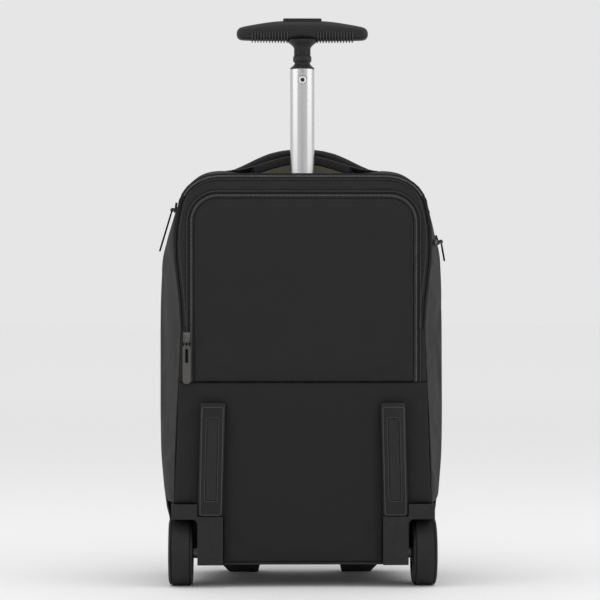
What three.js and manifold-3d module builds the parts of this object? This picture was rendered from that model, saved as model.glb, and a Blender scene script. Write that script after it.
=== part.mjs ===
// Wheeled backpack: a soft bag on a base with two wheels, two feet and a telescopic T-handle.
// Millimetres, +Z up, +X to the right of the wheeled rear face, which looks towards -Y.
// The origin is on the floor, under the middle of the bag.

import * as THREE from 'three';
import { mergeVertices } from 'three/addons/utils/BufferGeometryUtils.js';
import Module from 'manifold-3d';

const wasm = await Module();
wasm.setup();

// General

const GAP = 0.3;
const WALL = 2;
const ROUND = 24;
const WHEEL_SIDES = 36;

// Bag body

const BODY_WIDTH = 340;
const BODY_DEPTH = 210;
const BODY_HEIGHT = 458.5;
const BASE_HEIGHT = 30;
const FRONT_DOME = 12;
const CORNER_HEIGHT = 45;
const CORNER_WIDTH = 49;
const TOP_CROWN = 2;
const TOP_RISE = 3;
const FRONT_DROP = 18;
const FRONT_CORNER_HEIGHT = 75;
const FRONT_CORNER_WIDTH = 70;

// Wheels, housings and feet

const WHEEL_RADIUS = 40;
const WHEEL_WIDTH = 29;
const WHEEL_PROUD = 10;
const WHEEL_INSET = 40;
const WHEEL_CLEARANCE = 3.5;
const TYRE_THICKNESS = 10;
const HUB_FACE = 1.2;
const HUB_LIP = 4;
const AXLE_RADIUS = 4;
const AXLE_HEAD_RADIUS = 7;
const AXLE_HEAD = 2;
const AXLE_SHOULDER_RADIUS = 8;
const HOUSING_INSET = 75.6;
const HOUSING_WIDTH = 30.1;
const HOUSING_TOP = 84.2;
const HOUSING_FILLET = 6;
const HOUSING_WALL = 3;
const ARM_BOTTOM = 81;
const ARM_TOP = 98.7;
const ARM_INSET = 14.5;
const TRAY_THICKNESS = 2.7;
const FOOT_INNER_INSET = 120;
const FOOT_WIDTH = 47;
const FOOT_DEPTH = 20;
const FOOT_CHAMFER = 9;
const FOOT_DRAFT = 2;
const FOOT_INSET = 14;

// Rear face

const GUARD_WIDTH = 28.6;
const GUARD_LENGTH = 133.2;
const GUARD_THICKNESS = 8;
const GUARD_BEVEL = 1.2;
const GUARD_LEAN = 1.5;
const INSET_WIDTH = 13.5;
const INSET_LENGTH = 97;
const INSET_DEPTH = 1.6;
const LOWER_PANEL_TOP = 242.6;
const WAIST_SHARE = 0.847;
const FLAP_SIDE_MARGIN = 14.19;
const FLAP_TOP_MARGIN = 28.7;
const FLAP_RADIUS = 28;
const FLAP_SHIFT = 1;
const FLAP_THICKNESS = 2;
const FLAP_ZIP_WIDTH = 8;
const FLAP_ZIP_THICKNESS = 1.4;
const BAND_WIDTH = 6;
const BAND_END_WIDTH = 2;
const BAND_THICKNESS = 3;
const BAND_BASE_STEPS = 6;

// Handle slot, lining and grab handle

const SLOT_LENGTH = 136;
const SLOT_WIDTH = 42;
const SLOT_SETBACK = 18;
const SLOT_RADIUS = 10;
const ARCH_RISE = 18;
const ARCH_SPAN = 180;
const ARCH_FALL = 18;
const BINDING_THICKNESS = 1.6;
const BINDING_HEIGHT = 9;
const LINING_THICKNESS = 1.2;
const LINING_DEPTH = 34;
const GRAB_SPAN = 188;
const GRAB_RISE = 28;
const GRAB_THICKNESS = 8.5;
const GRAB_WIDTH = 26;
const GRAB_SETBACK = 4;

// Trolley handle

const POLE_RADIUS = 14.5;
const POLE_WALL = 1.5;
const POLE_SETBACK = 39;
const POLE_RISE = 126.7;
const POLE_LENGTH = 433;
const GUIDE_CLEARANCE = 0.6;
const GUIDE_WALL = 1.9;
const GUIDE_DROP = 37;
const SCREW_RADIUS = 4.9;
const SCREW_DROP = 13.6;
const SCREW_THICKNESS = 1.8;
const NECK_HEIGHT = 32;
const GRIP_WIDTH = 156.3;
const GRIP_HEIGHT = 26;
const GRIP_DEPTH = 28;
const BUTTON_LENGTH = 46;
const BUTTON_WIDTH = 14;
const BUTTON_PROUD = 2.4;
const BUTTON_HEIGHT = 6.4;
const BUTTON_TRAVEL = 2.4;
const BUTTON_CLEARANCE = 0.5;
const BUTTON_CORNER = 3;

// Zip hardware

const ZIP_THICKNESS = 1.4;
const SIDE_ZIP_ROWS_OUT = 2.15;
const SLIDER_WIDTH = 8;
const SLIDER_LENGTH = 12;
const SLIDER_THICKNESS = 2.6;
const SLIDER_STANDOFF = 5.2;
const LUG_WIDTH = 1.5;
const PULL_BAR_RADIUS = 1.1;
const PULL_EYE_RADIUS = 2.6;
const PULL_WIDTH = 9.4;
const PULL_THICKNESS = 1.8;
const PULL_LENGTH = 51;
const PULL_SLOT_WIDTH = 2.4;
const PULL_SLOT_LENGTH = 16;
const SIDE_PULL_WIDTH = 6;
const SIDE_PULL_LENGTH = 24;

// Places worked out from the sizes above

const HALF_WIDTH = BODY_WIDTH / 2;
const TOP_Z = BASE_HEIGHT + BODY_HEIGHT;
const WHEEL_INNER_X = HALF_WIDTH - WHEEL_INSET;
const HOUSING_INNER_X = HALF_WIDTH - HOUSING_INSET;
const ARM_END_X = HALF_WIDTH - ARM_INSET;
const FOOT_INNER_X = HALF_WIDTH - FOOT_INNER_INSET;
const FLAP_WIDTH = 2 * (WAIST_SHARE * HALF_WIDTH - FLAP_SIDE_MARGIN);
const FLAP_TOP = TOP_Z - FLAP_TOP_MARGIN;
const POLE_TOP = TOP_Z + POLE_RISE;
const HOUSING_BOTTOM = BASE_HEIGHT - GAP - TRAY_THICKNESS;
const REAR_Y = -(BODY_DEPTH - WHEEL_PROUD) / 2;
const FRONT_Y = REAR_Y + BODY_DEPTH;
const PANEL_BACK_Y = REAR_Y + WALL;
const SEAM_Y = PANEL_BACK_Y + GAP;
const FRONT_SEAM_Y = FRONT_Y - FRONT_DOME;
const GUSSET_DEPTH = FRONT_SEAM_Y - SEAM_Y;
const WHEEL_Y = REAR_Y - WHEEL_PROUD + WHEEL_RADIUS;
const HOUSING_OUTER_X = HOUSING_INNER_X + HOUSING_WIDTH;
const HOUSING_FRONT_Y = REAR_Y - GUARD_THICKNESS - GAP;
const WELL_Y = WHEEL_Y + WHEEL_RADIUS + WHEEL_CLEARANCE;
const HOUSING_BACK_Y = WELL_Y + HOUSING_WALL;
const SLOT_NEAR_Y = REAR_Y + SLOT_SETBACK;
const SLOT_FAR_Y = SLOT_NEAR_Y + SLOT_WIDTH;
const POLE_Y = REAR_Y + POLE_SETBACK;
const POLE_BOTTOM = POLE_TOP - POLE_LENGTH;
const GUIDE_TOP = TOP_Z - GUIDE_DROP;
const GRIP_BOTTOM = POLE_TOP + NECK_HEIGHT;
const GRIP_TOP = GRIP_BOTTOM + GRIP_HEIGHT;
const GRAB_Y = SLOT_FAR_Y + GRAB_SETBACK + GRAB_WIDTH / 2;
const FLAP_ZIP_HALF = FLAP_WIDTH / 2 + FLAP_ZIP_WIDTH + GAP;

// Finishes

const FINISHES = {
  cloth: { color: 0x2b2b2c, roughness: 0.9, metalness: 0 },
  side_cloth: { color: 0x3a3a3b, roughness: 0.88, metalness: 0 },
  smooth_cloth: { color: 0x29292a, roughness: 0.75, metalness: 0 },
  zip: { color: 0x3a3a3b, roughness: 0.7, metalness: 0 },
  lining: { color: 0x5b5645, roughness: 0.9, metalness: 0 },
  plastic: { color: 0x2c2c2d, roughness: 0.55, metalness: 0 },
  rubber: { color: 0x2b2b2b, roughness: 0.8, metalness: 0 },
  pull: { color: 0x5f5f61, roughness: 0.45, metalness: 0.3 },
  aluminium: { color: 0xb9babb, roughness: 0.35, metalness: 0.9 },
};

// Shapes and solids

function flatGeometry(positions, faces) {
  const geometry = new THREE.BufferGeometry();
  geometry.setAttribute('position', new THREE.Float32BufferAttribute(positions, 3));
  geometry.setIndex(faces);
  return geometry;
}

function volumeOf(geometry) {
  const place = geometry.attributes.position;
  const index = geometry.index;
  const [a, b, c] = [new THREE.Vector3(), new THREE.Vector3(), new THREE.Vector3()];
  let total = 0;
  for (let i = 0; i < index.count; i += 3) {
    a.fromBufferAttribute(place, index.getX(i));
    b.fromBufferAttribute(place, index.getX(i + 1));
    c.fromBufferAttribute(place, index.getX(i + 2));
    total += a.dot(b.cross(c)) / 6;
  }
  return total;
}

function flipFaces(geometry) {
  const list = geometry.index.array;
  for (let i = 0; i < list.length; i += 3) {
    [list[i + 1], list[i + 2]] = [list[i + 2], list[i + 1]];
  }
  return geometry;
}

function facingOut(geometry) {
  return volumeOf(geometry) < 0 ? flipFaces(geometry) : geometry;
}

function welded(geometry) {
  const bare = geometry.clone();
  bare.deleteAttribute('normal');
  bare.deleteAttribute('uv');
  return facingOut(mergeVertices(bare, 1e-4));
}

function toSolid(geometry) {
  const mesh = welded(geometry);
  return new wasm.Manifold(new wasm.Mesh({
    numProp: 3,
    vertProperties: new Float32Array(mesh.attributes.position.array),
    triVerts: new Uint32Array(mesh.index.array),
  }));
}

function toGeometry(solid) {
  const mesh = solid.getMesh();
  return flatGeometry(Array.from(mesh.vertProperties), Array.from(mesh.triVerts));
}

function join(...geometries) {
  const [first, ...rest] = geometries.map(toSolid);
  return toGeometry(rest.reduce((whole, next) => whole.add(next), first));
}

function cut(geometry, ...tools) {
  const whole = toSolid(geometry);
  return toGeometry(tools.map(toSolid).reduce((left, tool) => left.subtract(tool), whole));
}

function mirrored(geometry) {
  const copy = geometry.clone();
  copy.scale(-1, 1, 1);
  return flipFaces(copy);
}

// A wall between two grids of points. With wrap the first and last rows meet.
function shell(outer, inner, wrap = false) {
  const rows = outer.length;
  const columns = outer[0].length;
  const positions = [...outer, ...inner].flat().flatMap((p) => [p.x, p.y, p.z]);
  const out = (i, j) => (i % rows) * columns + j;
  const within = (i, j) => rows * columns + out(i, j);
  const faces = [];
  const quad = (a, b, c, d) => faces.push(a, b, c, a, c, d);
  const steps = wrap ? rows : rows - 1;
  for (let i = 0; i < steps; i += 1) {
    for (let j = 0; j < columns - 1; j += 1) {
      quad(out(i, j), out(i + 1, j), out(i + 1, j + 1), out(i, j + 1));
      quad(within(i, j), within(i, j + 1), within(i + 1, j + 1), within(i + 1, j));
    }
    const last = columns - 1;
    quad(out(i, 0), within(i, 0), within(i + 1, 0), out(i + 1, 0));
    quad(out(i, last), out(i + 1, last), within(i + 1, last), within(i, last));
  }
  if (!wrap) {
    const end = rows - 1;
    for (let j = 0; j < columns - 1; j += 1) {
      quad(out(0, j), out(0, j + 1), within(0, j + 1), within(0, j));
      quad(out(end, j), within(end, j), within(end, j + 1), out(end, j + 1));
    }
  }
  return facingOut(flatGeometry(positions, faces));
}

// A closed body through rings of equally many points, with a flat end at each side.
function loft(rings) {
  const count = rings[0].length;
  const middle = (ring) => ring
    .reduce((sum, p) => sum.add(p), new THREE.Vector3())
    .divideScalar(count);
  const last = rings.length - 1;
  const points = [...rings.flat(), middle(rings[0]), middle(rings[last])];
  const faces = [];
  for (let r = 0; r < last; r += 1) {
    for (let k = 0; k < count; k += 1) {
      const a = r * count + k;
      const b = r * count + ((k + 1) % count);
      faces.push(a, b, b + count, a, b + count, a + count);
    }
  }
  for (let k = 0; k < count; k += 1) {
    const next = (k + 1) % count;
    faces.push(rings.length * count, next, k);
    faces.push(rings.length * count + 1, last * count + k, last * count + next);
  }
  return facingOut(flatGeometry(points.flatMap((p) => [p.x, p.y, p.z]), faces));
}

// A dish: outer and inner rings run from the rim to the middle, where each side is closed.
function bowl(outer, inner) {
  return loft([...inner.slice().reverse(), ...outer]);
}

function box(x0, x1, y0, y1, z0, z1) {
  const geometry = new THREE.BoxGeometry(x1 - x0, y1 - y0, z1 - z0);
  return geometry.translate((x0 + x1) / 2, (y0 + y1) / 2, (z0 + z1) / 2);
}

// A flat outline in X and Z, given thickness from y0 to y1.
function plate(points, y0, y1, holes = []) {
  const shape = new THREE.Shape(points.map((p) => new THREE.Vector2(p.x, p.z)));
  for (const hole of holes) {
    shape.holes.push(new THREE.Path(hole.map((p) => new THREE.Vector2(p.x, p.z))));
  }
  const geometry = new THREE.ExtrudeGeometry(shape, { depth: y1 - y0, bevelEnabled: false });
  return geometry.rotateX(Math.PI / 2).translate(0, y1, 0);
}

function roundedRectangle(width, height, radius, cornerSteps = 4) {
  const points = [];
  for (let k = 0; k < 4; k += 1) {
    const sx = k === 0 || k === 3 ? 1 : -1;
    const sz = k < 2 ? 1 : -1;
    for (let i = 0; i <= cornerSteps; i += 1) {
      const angle = ((k + i / cornerSteps) * Math.PI) / 2;
      points.push({
        x: sx * (width / 2 - radius) + radius * Math.cos(angle),
        z: sz * (height / 2 - radius) + radius * Math.sin(angle),
      });
    }
  }
  return points;
}

// A turned body about X. Each row holds its place along X and its radius.
function turnedAboutX(rows, sides = ROUND) {
  const profile = rows.map((row) => new THREE.Vector2(row.r, row.x));
  return new THREE.LatheGeometry(profile, sides).rotateZ(-Math.PI / 2);
}

// A turned body about Z. Each row holds its height and its radius.
function turnedAboutZ(rows, sides = ROUND) {
  const profile = rows.map((row) => new THREE.Vector2(row.r, row.z));
  return new THREE.LatheGeometry(profile, sides).rotateX(Math.PI / 2);
}

// The gusset: three sections of one arch, at the rear seam, half way and at the front seam.
// height is a share of the straight side. The others are shares of half the bag's width.

const SIDE_ROWS = [
  { height: 0.0, near: 0.891, mid: 0.871, far: 0.812 },
  { height: 0.077, near: 0.894, mid: 0.924, far: 0.841 },
  { height: 0.161, near: 0.894, mid: 0.962, far: 0.865 },
  { height: 0.294, near: 0.888, mid: 0.994, far: 0.882 },
  { height: 0.414, near: 0.876, mid: 1.0, far: 0.894 },
  { height: 0.558, near: 0.857, mid: 1.0, far: 0.9 },
  { height: 0.662, near: WAIST_SHARE, mid: 1.0, far: 0.9 },
  { height: 0.748, near: 0.86, mid: 0.998, far: 0.894 },
  { height: 0.864, near: 0.891, mid: 0.986, far: 0.882 },
  { height: 0.907, near: 0.895, mid: 0.951, far: 0.876 },
  { height: 0.955, near: 0.893, mid: 0.904, far: 0.868 },
  { height: 1.0, near: 0.876, mid: 0.866, far: 0.853 },
];
const CORNER_STEPS = 5;
const TOP_STEPS = 8;
const SIDE_LAST = SIDE_ROWS.length - 1;
const ARCH_HALF = SIDE_LAST + CORNER_STEPS + TOP_STEPS;
const TOP_HALF = CORNER_STEPS + TOP_STEPS;
const PANEL_SEAM = 0.02;

const SECTIONS = {
  near: { top: TOP_Z, crown: 0, cornerHeight: CORNER_HEIGHT, cornerWidth: CORNER_WIDTH },
  mid: { top: TOP_Z + TOP_RISE, crown: TOP_CROWN, cornerHeight: CORNER_HEIGHT, cornerWidth: CORNER_WIDTH },
  far: {
    top: TOP_Z - FRONT_DROP,
    crown: TOP_CROWN,
    cornerHeight: FRONT_CORNER_HEIGHT,
    cornerWidth: FRONT_CORNER_WIDTH,
  },
};

function halfArch(key) {
  const { top, crown, cornerHeight, cornerWidth } = SECTIONS[key];
  const shoulder = top - cornerHeight;
  const side = SIDE_ROWS.map((row) => ({
    x: row[key] * HALF_WIDTH,
    z: BASE_HEIGHT + row.height * (shoulder - BASE_HEIGHT),
  }));
  const flat = side[SIDE_LAST].x - cornerWidth;
  const points = [...side];
  for (let k = 1; k <= CORNER_STEPS; k += 1) {
    const angle = (k / CORNER_STEPS) * (Math.PI / 2);
    points.push({
      x: flat + cornerWidth * Math.cos(angle),
      z: shoulder + cornerHeight * Math.sin(angle),
    });
  }
  for (let k = 1; k <= TOP_STEPS; k += 1) {
    const share = 1 - k / TOP_STEPS;
    points.push({ x: flat * share, z: top + crown * (1 - share * share) });
  }
  return { points, flat, top, crown };
}

const ARCHES = { near: halfArch('near'), mid: halfArch('mid'), far: halfArch('far') };

function blend(s, near, mid, far) {
  return near * (1 - s) * (1 - 2 * s) + mid * 4 * s * (1 - s) + far * s * (2 * s - 1);
}

function shareOf(y) {
  return (y - SEAM_Y) / GUSSET_DEPTH;
}

// The lip behind the handle slot stands up in an arch, which falls away to both sides.
function archLift(x, y) {
  const across = Math.cos((Math.PI * Math.min(Math.abs(x), ARCH_SPAN / 2)) / ARCH_SPAN) ** 2;
  const away = y - SLOT_FAR_Y;
  const reach = away < 0 ? SLOT_WIDTH : ARCH_FALL;
  const along = Math.cos((Math.PI / 2) * Math.min(Math.abs(away) / reach, 1)) ** 2;
  return ARCH_RISE * across * along;
}

function archPoint(key, v) {
  const place = ARCH_HALF - Math.abs(v);
  const low = Math.min(Math.floor(place), ARCH_HALF - 1);
  const share = place - low;
  const { points } = ARCHES[key];
  return {
    x: points[low].x + share * (points[low + 1].x - points[low].x),
    z: points[low].z + share * (points[low + 1].z - points[low].z),
  };
}

// A point of the gusset. v runs from -ARCH_HALF, bottom left, over 0, top middle, to ARCH_HALF.
function gussetPoint(v, s) {
  const [near, mid, far] = ['near', 'mid', 'far'].map((key) => archPoint(key, v));
  const x = (v < 0 ? -1 : 1) * blend(s, near.x, mid.x, far.x);
  const y = SEAM_Y + s * GUSSET_DEPTH;
  const lift = Math.abs(v) < TOP_HALF ? archLift(x, y) : 0;
  return new THREE.Vector3(x, y, blend(s, near.z, mid.z, far.z) + lift);
}

function gussetNormal(v, s) {
  const step = 0.2;
  const turn = 0.01;
  const low = Math.max(v - step, -ARCH_HALF);
  const high = Math.min(v + step, ARCH_HALF);
  const along = gussetPoint(high, s).sub(gussetPoint(low, s));
  const across = gussetPoint(v, Math.min(s + turn, 1)).sub(gussetPoint(v, Math.max(s - turn, 0)));
  return along.cross(across).normalize();
}

function gussetGrid(vs, ss, lift) {
  return vs.map((v) => ss.map((s) => gussetPoint(v, s).addScaledVector(gussetNormal(v, s), lift)));
}

function gussetShell(vs, ss, top = 0, bottom = -WALL) {
  return shell(gussetGrid(vs, ss, top), gussetGrid(vs, ss, bottom));
}

function evenly(from, to, steps) {
  return Array.from({ length: steps + 1 }, (_, i) => from + ((to - from) * i) / steps);
}

// Height of the bag's top at a place inside the corners.
function topHeight(x, y) {
  const s = shareOf(y);
  const { near, mid, far } = ARCHES;
  const share = Math.abs(x) / blend(s, near.flat, mid.flat, far.flat);
  const bow = 1 - share * share;
  const [a, b, c] = [near, mid, far].map((arch) => arch.top + arch.crown * bow);
  return blend(s, a, b, c) + archLift(x, y);
}

// Rear face outlines

function rearOutline(fromBase) {
  const left = ARCHES.near.points.slice(fromBase).map((p) => ({ x: -p.x, z: p.z }));
  const right = left.slice(0, -1).reverse().map((p) => ({ x: -p.x, z: p.z }));
  return [...left, ...right];
}

function inset(points, widthAt) {
  return points.map((p, i) => {
    const before = points[Math.max(i - 1, 0)];
    const after = points[Math.min(i + 1, points.length - 1)];
    const length = Math.hypot(after.x - before.x, after.z - before.z);
    const width = widthAt(i / (points.length - 1));
    return {
      x: p.x + (width * (after.z - before.z)) / length,
      z: p.z - (width * (after.x - before.x)) / length,
    };
  });
}

function rearHalfWidthAt(z) {
  const { points } = ARCHES.near;
  const above = points.findIndex((p) => p.z > z);
  const low = points[above - 1];
  const share = (z - low.z) / (points[above].z - low.z);
  return low.x + share * (points[above].x - low.x);
}

// Left foot, over a round-cornered top, to right foot.
function doorway(half, bottom, top, radius, shift) {
  const points = [{ x: shift - half, z: bottom }];
  const steps = 6;
  for (let side = -1; side <= 1; side += 2) {
    for (let i = 0; i <= steps; i += 1) {
      const turn = side < 0 ? i / steps : 1 - i / steps;
      const angle = (turn * Math.PI) / 2;
      points.push({
        x: shift + side * (half - radius + radius * Math.cos(angle)),
        z: top - radius + radius * Math.sin(angle),
      });
    }
  }
  points.push({ x: shift + half, z: bottom });
  return points;
}

function bandWidthAt(share) {
  const rise = Math.sin(Math.PI * share);
  return BAND_END_WIDTH + (BAND_WIDTH - BAND_END_WIDTH) * Math.min(1, 2 * rise * rise);
}

function perimeterZip() {
  const outer = rearOutline(BAND_BASE_STEPS);
  const inner = inset(outer, bandWidthAt);
  return plate([...outer, ...inner.reverse()], PANEL_BACK_Y - BAND_THICKNESS, PANEL_BACK_Y);
}

function rearBorder() {
  const bandOuter = rearOutline(BAND_BASE_STEPS);
  const bandInner = inset(bandOuter, (share) => bandWidthAt(share) + GAP);
  const bottom = LOWER_PANEL_TOP + GAP;
  const startX = rearHalfWidthAt(bottom) - GAP;
  const first = bandOuter[0];
  const underBand = { x: first.x + GAP, z: first.z - GAP };
  const outer = [
    { x: -startX, z: bottom },
    underBand,
    ...bandInner.map((p, i) => (i === 0 ? { x: p.x, z: underBand.z } : p)).slice(0, -1),
    { x: bandInner[bandInner.length - 1].x, z: underBand.z },
    { x: -underBand.x, z: underBand.z },
    { x: startX, z: bottom },
  ];
  const holeTop = FLAP_TOP + FLAP_ZIP_WIDTH + 2 * GAP;
  const holeRadius = FLAP_RADIUS + FLAP_ZIP_WIDTH;
  const hole = doorway(FLAP_ZIP_HALF + GAP, bottom, holeTop, holeRadius, FLAP_SHIFT);
  return plate([...outer, ...hole.reverse()], REAR_Y, PANEL_BACK_Y);
}

function flapZip() {
  const bottom = LOWER_PANEL_TOP + GAP;
  const outerTop = FLAP_TOP + FLAP_ZIP_WIDTH + GAP;
  const outerRadius = FLAP_RADIUS + FLAP_ZIP_WIDTH;
  const outer = doorway(FLAP_ZIP_HALF, bottom, outerTop, outerRadius, FLAP_SHIFT);
  const inner = doorway(FLAP_WIDTH / 2 + GAP, bottom, FLAP_TOP + GAP, FLAP_RADIUS, FLAP_SHIFT);
  return plate([...outer, ...inner.reverse()], PANEL_BACK_Y - FLAP_ZIP_THICKNESS, PANEL_BACK_Y);
}

function strapFlap() {
  const outline = doorway(FLAP_WIDTH / 2, LOWER_PANEL_TOP + GAP, FLAP_TOP, FLAP_RADIUS, FLAP_SHIFT);
  const back = PANEL_BACK_Y - FLAP_ZIP_THICKNESS;
  return plate(outline, back - FLAP_THICKNESS, back);
}

function rearLowerPanel() {
  const rows = ARCHES.near.points.filter((p) => p.z > ARM_TOP + GAP && p.z < LOWER_PANEL_TOP);
  const right = [
    { x: HOUSING_INNER_X - GAP, z: BASE_HEIGHT },
    { x: HOUSING_INNER_X - GAP, z: HOUSING_TOP + GAP },
    { x: HOUSING_OUTER_X - GAP, z: HOUSING_TOP + GAP },
    { x: HOUSING_OUTER_X - GAP, z: ARM_TOP + GAP },
    { x: rearHalfWidthAt(ARM_TOP + GAP), z: ARM_TOP + GAP },
    ...rows,
    { x: rearHalfWidthAt(LOWER_PANEL_TOP), z: LOWER_PANEL_TOP },
  ];
  const left = right.map((p) => ({ x: -p.x, z: p.z })).reverse();
  return plate([...right, ...left], REAR_Y, PANEL_BACK_Y);
}

// Gusset pieces

function housingSpace() {
  const reach = HALF_WIDTH + WALL;
  return box(HOUSING_INNER_X - GAP, reach, REAR_Y - WALL, HOUSING_BACK_Y + GAP, 0, ARM_TOP + GAP);
}

function sidePanel() {
  const rows = evenly(TOP_HALF + 1, ARCH_HALF, SIDE_LAST - 1);
  const wall = gussetShell([TOP_HALF + PANEL_SEAM, ...rows], evenly(0, 1, 8));
  const underBase = box(0, HALF_WIDTH + WALL, REAR_Y, FRONT_Y, 0, BASE_HEIGHT);
  return cut(wall, housingSpace(), underBase);
}

function topPanel() {
  const half = TOP_HALF - PANEL_SEAM;
  const inside = evenly(1 - TOP_HALF, TOP_HALF - 1, 2 * TOP_HALF - 2);
  const depths = [REAR_Y + WALL + GAP, ...evenly(SLOT_NEAR_Y, SLOT_FAR_Y, 5),
    ...evenly(SLOT_FAR_Y + ARCH_FALL / 4, SLOT_FAR_Y + ARCH_FALL, 3), FRONT_SEAM_Y];
  const known = depths.map(shareOf);
  const last = known[known.length - 2];
  const ss = [...known.slice(0, -1), ...evenly(last, 1, 4).slice(1)];
  const wall = gussetShell([-half, ...inside, half], ss);
  const middleY = (SLOT_NEAR_Y + SLOT_FAR_Y) / 2;
  const outline = roundedRectangle(SLOT_LENGTH, SLOT_WIDTH, SLOT_RADIUS);
  const reach = ARCH_RISE + TOP_RISE + CORNER_HEIGHT;
  const slot = plate(outline, -reach, reach).rotateX(-Math.PI / 2).translate(0, middleY, TOP_Z);
  return cut(wall, slot);
}

function sideZip() {
  const row = TOP_HALF + SIDE_ZIP_ROWS_OUT;
  return gussetShell([row - 0.16, row, row + 0.16], evenly(0.08, 0.8, 12), GAP + ZIP_THICKNESS, GAP);
}

// Rings step in from the front seam to the middle of the front. depth is a share of the dome.

const DOME_RINGS = [
  { size: 1.0, depth: 0.0 },
  { size: 0.985, depth: 0.45 },
  { size: 0.95, depth: 0.78 },
  { size: 0.86, depth: 0.94 },
  { size: 0.5, depth: 1.0 },
];

function frontPanel() {
  const half = ARCHES.far.points;
  const left = half.map((p) => ({ x: -p.x, z: p.z }));
  const right = half.slice(0, -1).reverse();
  const bottomX = half[0].x;
  const bottom = evenly(bottomX, -bottomX, 6).slice(1, -1).map((x) => ({ x, z: BASE_HEIGHT }));
  const outline = [...left, ...right, ...bottom];
  const middleZ = BASE_HEIGHT + (TOP_Z - FRONT_DROP - BASE_HEIGHT) / 2;
  const seam = FRONT_SEAM_Y + GAP;
  const face = (shrink, back) => DOME_RINGS.map((ring) => outline.map((p) => {
    const scale = ring.size * shrink;
    const y = Math.max(seam + ring.depth * (FRONT_Y - seam) - back, seam);
    return new THREE.Vector3(p.x * scale, y, middleZ + (p.z - middleZ) * scale);
  }));
  return bowl(face(1, 0), face(1 - WALL / bottomX, WALL));
}

function baseTray() {
  const rim = evenly(0, 1, 8).map((s) => gussetPoint(ARCH_HALF, s));
  const right = [{ x: rim[0].x, z: REAR_Y }, ...rim.map((p) => ({ x: p.x, z: p.y }))];
  const left = right.map((p) => ({ x: -p.x, z: p.z })).reverse();
  const top = BASE_HEIGHT - GAP;
  const tray = plate([...right, ...left], -top, TRAY_THICKNESS - top).rotateX(-Math.PI / 2);
  return cut(tray, housingSpace(), mirrored(welded(housingSpace())));
}

// Slot binding and lining

function slotBinding() {
  const half = SLOT_LENGTH / 2 - SLOT_RADIUS - GAP;
  const y = SLOT_FAR_Y - GAP;
  const face = (depth) => evenly(-half, half, 16).map((x) => {
    const top = topHeight(x, SLOT_FAR_Y) + GAP;
    return [top, top - BINDING_HEIGHT].map((z) => new THREE.Vector3(x, depth, z));
  });
  return shell(face(y), face(y - BINDING_THICKNESS));
}

function slotLining() {
  const middleY = (SLOT_NEAR_Y + SLOT_FAR_Y) / 2;
  const bottom = TOP_Z - LINING_DEPTH;
  const wallAt = (margin) => roundedRectangle(
    SLOT_LENGTH - 2 * margin, SLOT_WIDTH - 2 * margin, SLOT_RADIUS - margin,
  ).flatMap((p, i, all) => {
    const next = all[(i + 1) % all.length];
    const run = Math.hypot(next.x - p.x, next.z - p.z);
    const parts = Math.max(1, Math.round(run / 12));
    return evenly(0, 1, parts).slice(0, -1).map((share) => ({
      x: p.x + share * (next.x - p.x),
      y: middleY + p.z + share * (next.z - p.z),
    }));
  });
  const heightAt = (p) => {
    const underBinding = topHeight(p.x, SLOT_FAR_Y) - BINDING_HEIGHT;
    const share = THREE.MathUtils.clamp((p.y - middleY) / (SLOT_WIDTH / 2), 0, 1);
    return THREE.MathUtils.lerp(TOP_Z - WALL, underBinding, share) - GAP;
  };
  const outer = wallAt(GAP);
  const inner = wallAt(GAP + LINING_THICKNESS);
  const columns = (points) => points.map((p, i) => {
    const top = heightAt(outer[i]);
    return [top, bottom].map((z) => new THREE.Vector3(p.x, p.y, z));
  });
  return shell(columns(outer), columns(inner), true);
}

// Grab handle: across, rise and thick are shares of half its span, its rise and its thickness.

const GRAB_ROWS = [
  { across: 0.0, rise: 1.0, thick: 1.0 },
  { across: 0.17, rise: 0.985, thick: 1.0 },
  { across: 0.31, rise: 0.91, thick: 0.98 },
  { across: 0.44, rise: 0.79, thick: 0.94 },
  { across: 0.56, rise: 0.62, thick: 0.9 },
  { across: 0.66, rise: 0.455, thick: 0.82 },
  { across: 0.77, rise: 0.27, thick: 0.62 },
  { across: 0.89, rise: 0.11, thick: 0.3 },
  { across: 1.0, rise: 0.06, thick: 0.22 },
];

function grabHandle() {
  const half = GRAB_ROWS.map((row) => ({ ...row, side: 1 }));
  const rows = [...half.slice(1).reverse().map((row) => ({ ...row, side: -1 })), ...half];
  const crest = TOP_Z + TOP_RISE + TOP_CROWN;
  const edges = [-0.5, -0.42, 0.42, 0.5];
  return loft(rows.map((row) => {
    const x = (row.side * row.across * GRAB_SPAN) / 2;
    const under = Math.max(...edges.map((e) => topHeight(x, GRAB_Y + e * GRAB_WIDTH))) + GAP;
    const thick = row.thick * GRAB_THICKNESS;
    const top = Math.max(crest + row.rise * GRAB_RISE, under + thick);
    const low = Math.max(top - thick, under);
    const lip = (top - low) * 0.25;
    const place = (e, z) => new THREE.Vector3(x, GRAB_Y + e * GRAB_WIDTH, z);
    return [
      place(-0.5, low + lip), place(-0.42, low), place(0.42, low), place(0.5, low + lip),
      place(0.5, top - lip), place(0.42, top), place(-0.42, top), place(-0.5, top - lip),
    ];
  }));
}

// Wheels and what holds them, for the right side

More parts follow.
